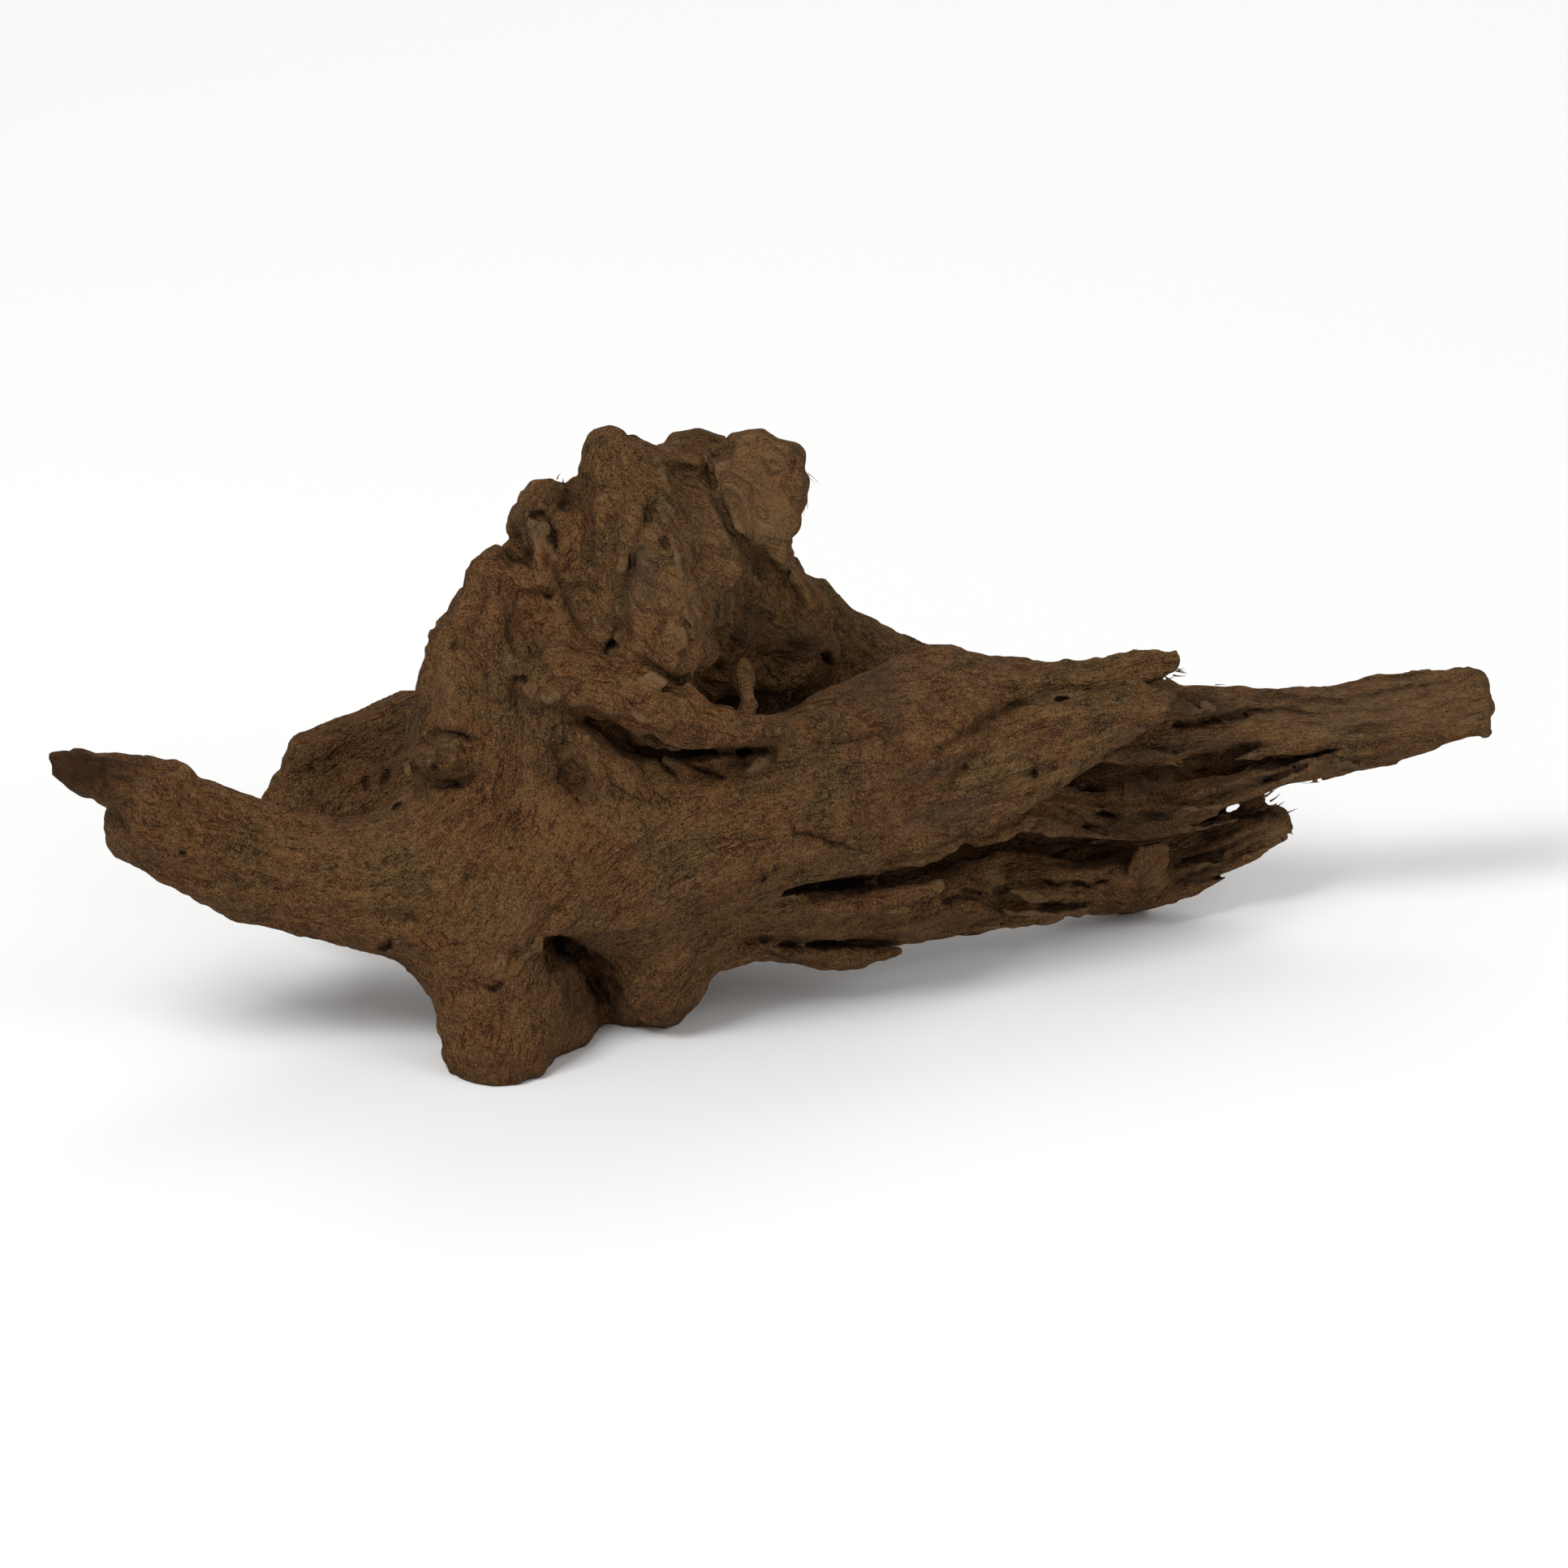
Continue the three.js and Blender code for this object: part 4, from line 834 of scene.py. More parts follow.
@dataclass
class Melt:
    """The wood as distances from its surface on a fine grid, negative inside."""

    grid: Grid
    shape: LimbShape
    spare: float = 2.5

    def limb_distances(self, limb: Limb, index: int) -> tuple[tuple[slice, ...], np.ndarray]:
        """Distances from one limb in the part of the grid round it.

        Args:
            limb: The limb.
            index: Its place in the list.

        Returns:
            The part of the grid as slices, and the distances there.
        """
        points, triangles, quads = self.shape.mesh(limb, index)
        level_set = openvdb.FloatGrid.createLevelSetFromPolygons(
            points.astype(np.float32),
            triangles=triangles.astype(np.uint32),
            quads=quads.astype(np.uint32),
            transform=openvdb.createLinearTransform(voxelSize=self.grid.step),
            halfWidth=(limb.blend + self.spare) / self.grid.step,
        )
        low, high = level_set.evalActiveVoxelBoundingBox()
        low = np.maximum(np.array(low), self.grid.first)
        high = np.minimum(np.array(high) + 1, self.grid.first + self.grid.values.shape)
        distances = np.zeros(high - low, np.float32)
        level_set.copyToArray(distances, ijk=tuple(int(v) for v in low))
        part = tuple(
            slice(int(a), int(b)) for a, b in zip(low - self.grid.first, high - self.grid.first)
        )
        return part, distances

    def add(self, limb: Limb, index: int) -> None:
        """Melts a limb into the wood, or cuts it out, with a rounded edge between.

        Args:
            limb: The limb.
            index: Its place in the list.
        """
        part, distances = self.limb_distances(limb, index)
        wood = self.grid.values[part]
        if limb.act is Act.GROW:
            near = np.maximum(limb.blend - np.abs(wood - distances), 0) / limb.blend
            self.grid.values[part] = np.minimum(wood, distances) - near * near * limb.blend / 4
        else:
            near = np.maximum(limb.blend - np.abs(wood + distances), 0) / limb.blend
            self.grid.values[part] = np.maximum(wood, -distances) + near * near * limb.blend / 4

    def stand(self) -> None:
        """Wears the feet flat where they meet the ground."""
        height = (np.arange(self.grid.values.shape[2]) + self.grid.first[2]) * self.grid.step
        np.maximum(self.grid.values, -height[None, None, :].astype(np.float32), out=self.grid.values)


@dataclass
class GrainFlow:
    """Three distances that follow the grain: along it, across it and out of it.

    Each is a smooth field whose slope is as near as it can be to the grain's direction, or to a
    direction across it, so patterns made from the three run with the grain everywhere.
    """

    grid_step: float = 5.0
    hold: float = 12.0
    rounds: int = 160
    sample_gap: float = 7.0
    forward: tuple[float, float, float] = (0.6, 0.0, 0.8)
    thin_area: float = 9.0
    near_share: float = 0.25
    fall_off: int = 3
    along: Grid = field(init=False)
    across: Grid = field(init=False)
    out: Grid = field(init=False)

    def directions(self, shape: LimbShape, cells: Grid) -> np.ndarray:
        """Grain direction at every cell, from the centre lines near it.

        Args:
            shape: Gives the centre lines.
            cells: The grid to fill.

        Returns:
            Unit directions, the first axis being X, Y and Z.
        """
        size = cells.values.shape
        every = np.stack(np.meshgrid(*[np.arange(n) for n in size], indexing="ij"), -1).reshape(-1, 3)
        at = cells.points(every).astype(np.float32)
        total = np.zeros((len(at), 3), np.float32)
        for limb in LIMBS:
            if limb.act is Act.CUT:
                continue
            _, line, run = shape.centre_line(limb)
            halves = np.array([max(s[3], s[4]) for s in limb.stations], float)
            count = max(4, int(run[-1] / self.sample_gap))
            for k in range(count):
                place_run = run[-1] * (k + 0.5) / count
                i = int(np.searchsorted(run, place_run))
                ahead = line[min(i + 2, len(line) - 1)] - line[max(i - 2, 0)]
                ahead /= np.linalg.norm(ahead)
                if ahead @ np.array(self.forward) < 0:
                    ahead = -ahead
                half = float(np.interp(place_run / run[-1], np.linspace(0, 1, len(halves)), halves))
                gap = ((at - line[i].astype(np.float32)) ** 2).sum(1) / (half * half + self.thin_area)
                weight = 1 / (self.near_share + gap) ** self.fall_off
                total += weight[:, None] * ahead.astype(np.float32)
        total /= np.maximum(np.linalg.norm(total, axis=1, keepdims=True), 1e-6)
        return np.moveaxis(total.reshape(*size, 3), -1, 0)

    @staticmethod
    def slope(values: np.ndarray) -> np.ndarray:
        """Steps to the next cell along X, Y and Z.

        Args:
            values: The field.

        Returns:
            The steps, the first axis being X, Y and Z.
        """
        steps = np.zeros((3, *values.shape), np.float32)
        steps[0, :-1] = values[1:] - values[:-1]
        steps[1, :, :-1] = values[:, 1:] - values[:, :-1]
        steps[2, :, :, :-1] = values[:, :, 1:] - values[:, :, :-1]
        return steps

    @staticmethod
    def gather(steps: np.ndarray) -> np.ndarray:
        """Sums steps back into the cells they lead from and to: the transpose of slope.

        Args:
            steps: Steps along X, Y and Z.

        Returns:
            One value for each cell.
        """
        total = np.zeros(steps.shape[1:], np.float32)
        total[1:] += steps[0, :-1]
        total[:-1] -= steps[0, :-1]
        total[:, 1:] += steps[1, :, :-1]
        total[:, :-1] -= steps[1, :, :-1]
        total[:, :, 1:] += steps[2, :, :, :-1]
        total[:, :, :-1] -= steps[2, :, :, :-1]
        return total

    def settle(self, start: np.ndarray, wanted: np.ndarray, grain: np.ndarray) -> np.ndarray:
        """Finds the field whose slope is nearest to the wanted one, by conjugate gradients.

        Args:
            start: First guess.
            wanted: Slope wanted at every cell.
            grain: Grain direction, along which the slope is held hardest.

        Returns:
            The field.
        """

        def pull(steps: np.ndarray) -> np.ndarray:
            """Gathers steps, weighed by the hold along the grain."""
            return self.gather(steps + self.hold * grain * (grain * steps).sum(0))

        field_now = start.astype(np.float32)
        rest = pull(wanted) - pull(self.slope(field_now))
        move = rest.copy()
        size = float((rest * rest).sum())
        for _ in range(self.rounds):
            push = pull(self.slope(move))
            amount = size / max(float((move * push).sum()), 1e-9)
            field_now += amount * move
            rest -= amount * push
            new_size = float((rest * rest).sum())
            move = rest + (new_size / max(size, 1e-9)) * move
            size = new_size
        return field_now

    def build(self, shape: LimbShape, like: Grid) -> None:
        """Fills the three fields over the same box as another grid.

        Args:
            shape: Gives the centre lines.
            like: The grid whose box is used.
        """
        cells = Grid(like.low, like.high, self.grid_step, 0.0)
        grain = self.directions(shape, cells)
        away = AWAY.astype(np.float32).reshape(3, 1, 1, 1)
        across = np.cross(grain, np.broadcast_to(away, grain.shape), axis=0)
        across /= np.maximum(np.linalg.norm(across, axis=0), 1e-3)
        out = np.cross(grain, across, axis=0)
        x, y, z = np.meshgrid(*[np.arange(n) for n in cells.values.shape], indexing="ij")
        fields = []
        for start, wanted in ((x, grain), (z, across), (-y, out)):
            made = Grid(like.low, like.high, self.grid_step, 0.0)
            made.values = self.settle(start, wanted.astype(np.float32), grain) * self.grid_step
            fields.append(made)
        self.along, self.across, self.out = fields

    def read(self, points: np.ndarray) -> np.ndarray:
        """The three distances at any places, as columns."""
        return np.stack([self.along.read(points), self.across.read(points), self.out.read(points)], 1)


@dataclass(frozen=True)
class Pattern:
    """A random pattern of the relief. Sizes and heights are in millimetres.

    Without a size along the grain it is the same in all directions. It stands as high as
    everywhere says, and higher by the other two amounts at the right and on the crown.
    """

    seed: int
    across: float
    along: float = 0.0
    everywhere: float = 0.0
    at_right: float = 0.0
    on_crown: float = 0.0

    def values(self, points: np.ndarray, grain: np.ndarray) -> np.ndarray:
        """Reads the pattern.

        Args:
            points: Places, in millimetres.
            grain: The three distances of each place in the grain.

        Returns:
            Values from -1 to 1.
        """
        if not self.along:
            return speckle(points / self.across, self.seed)
        return speckle(grain / np.array([self.along, self.across, self.across], np.float32), self.seed)

    def height(self, right: np.ndarray, crown: np.ndarray) -> np.ndarray:
        """Gives how high the pattern stands.

        Args:
            right: How far each place belongs to the right, from 0 to 1.
            crown: How far it belongs to the crown, from 0 to 1.

        Returns:
            One height for each place.
        """
        return self.everywhere + self.at_right * right + self.on_crown * crown


WEATHERED = Pattern(19, 21)
LUMPS = Pattern(3, 19, everywhere=0.9)
CREASES = Pattern(23, 9.5, everywhere=0.4, on_crown=1.2)
ROUGHNESS = Pattern(11, 4.1, everywhere=0.5, on_crown=0.35)
GRIT = Pattern(31, 2.1, everywhere=0.4, on_crown=0.12)
BROAD = Pattern(5, 9, 42, everywhere=0.9, on_crown=0.8)
NARROW = Pattern(7, 3.4, 20, everywhere=0.55, at_right=0.7, on_crown=0.45)
SPLITS = Pattern(13, 5.2, 26, everywhere=0.6, at_right=0.8, on_crown=0.4)
CLEFTS = Pattern(17, 10, 46, everywhere=0.6, at_right=1.8, on_crown=0.9)
SHELVES = Pattern(37, 14, 30, at_right=2.1)
SHAKES = (Pattern(41, 3.3), Pattern(43, 3.3))


@dataclass
class Relief:
    """Ridges, lumps and drawn lines added to the melted wood.

    The right and the crown start and end softly between two values of X or Z.
    """

    flow: GrainFlow
    band: float = 4.2
    cell: float = 1.0
    margin: int = 3
    front_depth: float = 7.0
    front_soft: float = 0.6
    right_from: tuple[float, float] = (30, 100)
    crown_above: tuple[float, float] = (75, 105)
    crown_until: tuple[float, float] = (0, 30)
    weathered_from: tuple[float, float] = (-0.35, 0.45)
    crease_rise: float = 1.7
    crease_level: float = 0.5
    split_sharpness: float = 3.2
    cleft_sharpness: float = 4.5
    shelf_gap: float = 7.0
    shelf_bend: float = 0.9
    least_shelf: float = 0.35
    least_split: float = 0.3
    mark_reach: float = 3.0
    shake: float = 0.9

    def front(self, grid: Grid) -> tuple[np.ndarray, tuple[float, float]]:
        """How far away the wood's first surface is at each place in the picture.

        Args:
            grid: The wood.

        Returns:
            Distances along the sight line, and the picture position of the first cell.
        """
        inside = grid.points(np.argwhere(grid.values < 0))
        right, seen, away = inside[:, 0], inside @ PICTURE_UP, inside @ AWAY
        start = (float(right.min()) - self.margin, float(seen.min()) - self.margin)
        i = ((right - start[0]) / self.cell).astype(int)
        j = ((seen - start[1]) / self.cell).astype(int)
        nearest = np.full((i.max() + self.margin + 1, j.max() + self.margin + 1), FAR)
        np.minimum.at(nearest, (i, j), away)
        padded = np.pad(nearest, 1, constant_values=FAR)
        wide, tall = nearest.shape
        shifts = [padded[a : a + wide, b : b + tall] for a in range(3) for b in range(3)]
        return np.minimum.reduce(shifts), start

    def on_front(self, points: np.ndarray, front: tuple[np.ndarray, tuple[float, float]]) -> np.ndarray:
        """Finds which places lie on the surface that the picture shows.

        Args:
            points: The places, in millimetres.
            front: The first surface in the picture.

        Returns:
            A share from 0 to 1 for each place.
        """
        nearest, start = front
        i = np.clip(((points[:, 0] - start[0]) / self.cell).astype(int), 0, nearest.shape[0] - 1)
        j = np.clip(((points @ PICTURE_UP - start[1]) / self.cell).astype(int), 0, nearest.shape[1] - 1)
        behind = points @ AWAY - nearest[i, j]
        return 1 - ramp(behind, self.front_depth * self.front_soft, self.front_depth)

    def ridges(self, points: np.ndarray) -> np.ndarray:
        """Height of the wood's own relief, in millimetres.

        Args:
            points: Places near the surface.

        Returns:
            How far the surface stands out there.
        """
        grain = self.flow.read(points)
        right = ramp(points[:, 0], *self.right_from)
        crown = ramp(points[:, 2], *self.crown_above) * (1 - ramp(points[:, 0], *self.crown_until))
        weathered = ramp(WEATHERED.values(points, grain), *self.weathered_from)

        height = LUMPS.everywhere * LUMPS.values(points, grain)
        height = height + BROAD.height(right, crown) * BROAD.values(points, grain)
        phase = grain[:, 1] / self.shelf_gap + self.shelf_bend * SHELVES.values(points, grain)
        shelf = phase - np.floor(phase) - 0.5
        height += SHELVES.height(right, crown) * shelf * (
            self.least_shelf + (1 - self.least_shelf) * weathered
        )
        creased = np.abs(CREASES.values(points, grain)) * self.crease_rise - self.crease_level
        height += CREASES.height(right, crown) * creased
        for pattern in (NARROW, ROUGHNESS, GRIT):
            height += pattern.height(right, crown) * pattern.values(points, grain)
        split = 1 - np.abs(SPLITS.values(points, grain)) * self.split_sharpness
        height -= SPLITS.height(right, crown) * np.clip(split, 0, 1) * (
            self.least_split + (1 - self.least_split) * weathered
        )
        cleft = 1 - np.abs(CLEFTS.values(points, grain)) * self.cleft_sharpness
        height -= CLEFTS.height(right, crown) * np.clip(cleft, 0, 1) * weathered
        return height

    def lines(self, points: np.ndarray, front: tuple[np.ndarray, tuple[float, float]]) -> np.ndarray:
        """Height of the drawn lines, in millimetres.

        Args:
            points: Places near the surface.
            front: The first surface in the picture.

        Returns:
            How far the surface stands out there.
        """
        picture = self.drawn(points)
        shown = self.on_front(points, front)
        height = np.zeros(len(points))
        for mark in MARKS:
            low = np.min(mark.points, axis=0) - self.mark_reach * mark.half
            high = np.max(mark.points, axis=0) + self.mark_reach * mark.half
            near = np.flatnonzero(((picture > low) & (picture < high)).all(1) & (shown > 0))
            if len(near):
                height[near] -= mark.depth * line_profile(picture[near], mark) * shown[near]
        return height

    def drawn(self, points: np.ndarray) -> np.ndarray:
        """Places in the picture, shaken a little so that no drawn line is quite smooth."""
        shaken = np.stack([shake.values(points, points) for shake in SHAKES], 1)
        return np.stack([points[:, 0], points @ PICTURE_UP], 1) + self.shake * shaken

    def apply(self, grid: Grid) -> tuple[np.ndarray, tuple[float, float]]:
        """Adds the relief to the wood in a thin band round its surface.

        Args:
            grid: The wood, changed in place.

        Returns:
            The first surface in the picture, for the colours.
        """
        front = self.front(grid)
        cells = np.argwhere(np.abs(grid.values) < self.band)
        points = grid.points(cells)
        height = self.ridges(points) + self.lines(points, front)
        i, j, k = cells.T
        grid.values[i, j, k] -= height.astype(np.float32)
        return front


@dataclass
class WoodMesh:
    """The piece of wood as a few fine meshes, side by side, that stand for the solid.

    A reach is how far out or in the wood is felt for, in millimetres, and its share of the
    whole: points closed in by the wood get painted shade, points on thin edges a painted
    highlight. Distances are kept up to the deepest one.
    """

    name: str = "driftwood_surface"
    low: tuple[float, float, float] = (-206.0, -6.0, -6.0)
    high: tuple[float, float, float] = (211.0, 140.0, 178.0)
    step: float = 0.8
    deepest: float = 20.0
    most_quads: int = 97_000
    hollow_shade_reaches: tuple[tuple[float, float], ...] = ((1.4, 0.3), (3.5, 0.4), (8.0, 0.3))
    edge_highlight_reaches: tuple[tuple[float, float], ...] = ((1.3, 0.5), (3.0, 0.5))
    patch_edge: float = 1.4
    shape: LimbShape = field(default_factory=LimbShape)
    flow: GrainFlow = field(default_factory=GrainFlow)

    def build(self, finish: "DryWood") -> list[bpy.types.Object]:
        """Builds the meshes and dresses them.

        Args:
            finish: The wood's finish.

        Returns:
            The objects, in the scene, from left to right.
        """
        grid = Grid(self.low, self.high, self.step, self.deepest)
        melt = Melt(grid, self.shape)
        for index, limb in enumerate(LIMBS):
            melt.add(limb, index)
        self.flow.build(self.shape, grid)
        front = Relief(self.flow).apply(grid)
        melt.stand()
        points, faces = main_body(*self.polygons(grid))
        normals = smooth_normals(points, faces)
        middles = points[faces].mean(1)[:, 0]
        order = np.argsort(middles, kind="stable")
        parts = math.ceil(len(faces) / self.most_quads)
        pieces = []
        for number, chosen in enumerate(np.array_split(order, parts), 1):
            used, local = np.unique(faces[chosen], return_inverse=True)
            piece = self.piece(f"{self.name}_{number}", points[used], local.reshape(-1, 4), normals[used])
            self.paint(piece.data, points[used], normals[used], grid, front)
            piece.data.materials.append(finish.build())
            pieces.append(piece)
        return pieces

    def polygons(self, grid: Grid) -> tuple[np.ndarray, np.ndarray]:
        """Turns the grid into a mesh.

        Args:
            grid: The wood.

        Returns:
            Points in millimetres, and quads.
        """
        level_set = openvdb.FloatGrid(self.deepest)
        values = np.clip(grid.values, -self.deepest, self.deepest)
        level_set.copyFromArray(values, ijk=tuple(int(v) for v in grid.first))
        level_set.transform = openvdb.createLinearTransform(voxelSize=grid.step)
        points, _, quads = level_set.convertToPolygons(isovalue=0.0, adaptivity=0.0)
        return points.astype(np.float64), quads.astype(np.int64)

    def piece(self, name: str, points: np.ndarray, faces: np.ndarray,
              normals: np.ndarray) -> bpy.types.Object:
        """Makes one object.

        Args:
            name: Its name.
            points: Its points, in millimetres.
            faces: Its quads.
            normals: The whole wood's normals at its points, so that no seam shows.

        Returns:
            The object, in the scene.
        """
        mesh = bpy.data.meshes.new(name)
        mesh.from_pydata(((points - MIDDLE) * MM).tolist(), [], faces.tolist())
        mesh.update()
        mesh.polygons.foreach_set("use_smooth", [True] * len(mesh.polygons))
        mesh.normals_split_custom_set_from_vertices(normals.tolist())
        piece = bpy.data.objects.new(name, mesh)
        bpy.context.scene.collection.objects.link(piece)
        log.info("%s: %d triangles", name, 2 * len(faces))
        return piece

    def paint(
        self,
        mesh: bpy.types.Mesh,
        points: np.ndarray,
        normals: np.ndarray,
        grid: Grid,
        front: tuple[np.ndarray, tuple[float, float]],
    ) -> None:
        """Stores the grain, the patches' colours with their painted light, the painted shade of hollows
        and the painted highlight of thin edges on a mesh's points.

        Args:
            mesh: The mesh.
            points: Its points, in millimetres.
            normals: Its normals.
            grid: The wood with its relief.
            front: The first surface in the picture.
        """
        store(mesh, "grain", self.flow.read(points) * MM)
        # Painted shade: darker where the wood closes round a point.
        hollow = np.zeros(len(points), np.float32)
        for reach, share in self.hollow_shade_reaches:
            open_by = grid.read(points + normals * reach) / reach
            hollow += share * np.clip(1 - open_by, 0, 1)
        # Painted highlight: paler where the wood under a point is thin.
        edge = np.zeros(len(points), np.float32)
        for reach, share in self.edge_highlight_reaches:
            thick = -grid.read(points - normals * reach) / reach
            edge += share * np.clip(1 - thick, 0, 1)
        colours_and_painted_light = self.colours_and_painted_light(points, front)
        store(mesh, "painted_shade_and_highlight", np.stack([hollow, edge, colours_and_painted_light[:, 3]], 1))
        store(mesh, "tone_and_painted_light", colours_and_painted_light[:, :3])

    def colours_and_painted_light(self, points: np.ndarray, front: tuple[np.ndarray, tuple[float, float]]) -> np.ndarray:
        """Spreads the patches, some of them painted shade or a painted highlight, and the painted shade
        of the drawn lines over the points.

        Args:
            points: The points, in millimetres.
            front: The first surface in the picture.

        Returns:
            Amounts of dark, pale, grey and the drawn lines' painted shade, four columns.
        """
        relief = Relief(self.flow)
        shown = relief.on_front(points, front)
        picture = np.stack([points[:, 0], points @ PICTURE_UP], 1)
        drawn = relief.drawn(points)
        colours_and_painted_light = np.zeros((len(points), 4), np.float32)
        for patch in PATCHES:
            lean = math.radians(patch.lean)
            gap = picture - np.array(patch.centre)
            u = (gap[:, 0] * math.cos(lean) + gap[:, 1] * math.sin(lean)) / patch.radii[0]
            v = (gap[:, 1] * math.cos(lean) - gap[:, 0] * math.sin(lean)) / patch.radii[1]
            here = np.exp(-((u * u + v * v) ** self.patch_edge)) * shown
            for column, amount in enumerate((patch.dark, patch.pale, patch.grey)):
                colours_and_painted_light[:, column] = np.maximum(colours_and_painted_light[:, column], amount * here)
        # The drawn lines' dark is painted shade in cracks, holes and grooves.
        for mark in MARKS:
            if mark.dark > 0:
                here = mark.dark * line_profile(drawn, mark) * shown
                colours_and_painted_light[:, 3] = np.maximum(colours_and_painted_light[:, 3], here)
        return colours_and_painted_light


def main_body(points: np.ndarray, faces: np.ndarray) -> tuple[np.ndarray, np.ndarray]:
    """Drops every loose crumb but the largest connected body.

    Args:
        points: All points.
        faces: All quads.

    Returns:
        The points, and the largest body's quads.
    """
    label = np.arange(len(points))
    while True:
        lowest = label[faces].min(1)
        before = label.copy()
        for corner in range(4):
            np.minimum.at(label, faces[:, corner], lowest)
        label = label[label]
        if (label == before).all():
            break
    names, sizes = np.unique(label[faces[:, 0]], return_counts=True)
    return points, faces[label[faces[:, 0]] == names[sizes.argmax()]]


def smooth_normals(points: np.ndarray, faces: np.ndarray) -> np.ndarray:
    """Blends the quads' directions at the points.

    Args:
        points: The points.
        faces: The quads.

    Returns:
        One unit normal for each point.
    """
    a, b, c, d = (points[faces[:, corner]] for corner in range(4))
    flat = np.cross(c - a, d - b)
    total = np.zeros_like(points)
    for corner in range(4):
        for axis in range(3):
            total[:, axis] += np.bincount(faces[:, corner], flat[:, axis], len(points))
    return total / np.maximum(np.linalg.norm(total, axis=1, keepdims=True), 1e-12)


def store(mesh: bpy.types.Mesh, name: str, values: np.ndarray) -> None:
    """Keeps three numbers a point on a mesh.

    Args:
        mesh: The mesh.
        name: What they are kept under.
        values: The numbers, three columns.
    """
    kept = mesh.attributes.new(name, "FLOAT_VECTOR", "POINT")
    kept.data.foreach_set("vector", values.astype(np.float32).ravel())


@dataclass(frozen=True)
class Tuft:
    """A few loose fibres that stand out of one place.

    Root is (right, seen, back) and aim is (right, seen, back) per unit, in the same measure.
    """

    root: tuple[float, float, float]
    aim: tuple[float, float, float]
    count: int
    length: float
    spread: float
    thick: float = 0.22


TUFTS: tuple[Tuft, ...] = (
    Tuft((8.5, 170, 72), (1, -0.9, 0.2), 5, 6.5, 0.25),
    Tuft((9, 165, 70), (0.25, -1, 0.1), 4, 6.0, 0.2),
    Tuft((4, 145, 66), (0.6, -0.9, 0.3), 5, 5.5, 0.3, 0.4),
    Tuft((112, 116, 97), (1, -0.15, 0.1), 8, 4.5, 0.5, 0.45),
    Tuft((110, 112.5, 97), (1, 0.05, 0.1), 6, 5.5, 0.4, 0.4),
    Tuft((122, 111, 110), (1, 0.1, 0.05), 5, 5.0, 0.5, 0.35),
    Tuft((108, 66, 98), (1, 0.45, 0.1), 8, 6.5, 0.5),
    Tuft((112, 66, 100), (1, 0.5, 0.1), 6, 7.0, 0.5),
    Tuft((98, 70, 94), (1, 0.3, 0.1), 8, 9.0, 0.6),
    Tuft((139, 80, 114), (0.6, 0.4, 0.1), 8, 4.0, 0.5, 0.5),
    Tuft((143, 76, 116), (0.8, 0.3, 0.0), 6, 3.5, 0.5, 0.45),
    Tuft((112, 58, 106), (1, 0.35, 0.0), 8, 6.0, 0.6, 0.3),
    Tuft((98, 79, 100), (0.15, 1, 0.0), 5, 5.0, 0.4, 0.5),
    Tuft((-77, 146, 53), (0.3, 1, 0.0), 4, 2.2, 0.4, 0.3),
    Tuft((-58, 167, 62), (0.3, 1, 0.1), 4, 2.0, 0.4, 0.3),
    Tuft((126, 101, 106), (0.8, -0.4, 0.0), 4, 4.0, 0.4, 0.35),
)


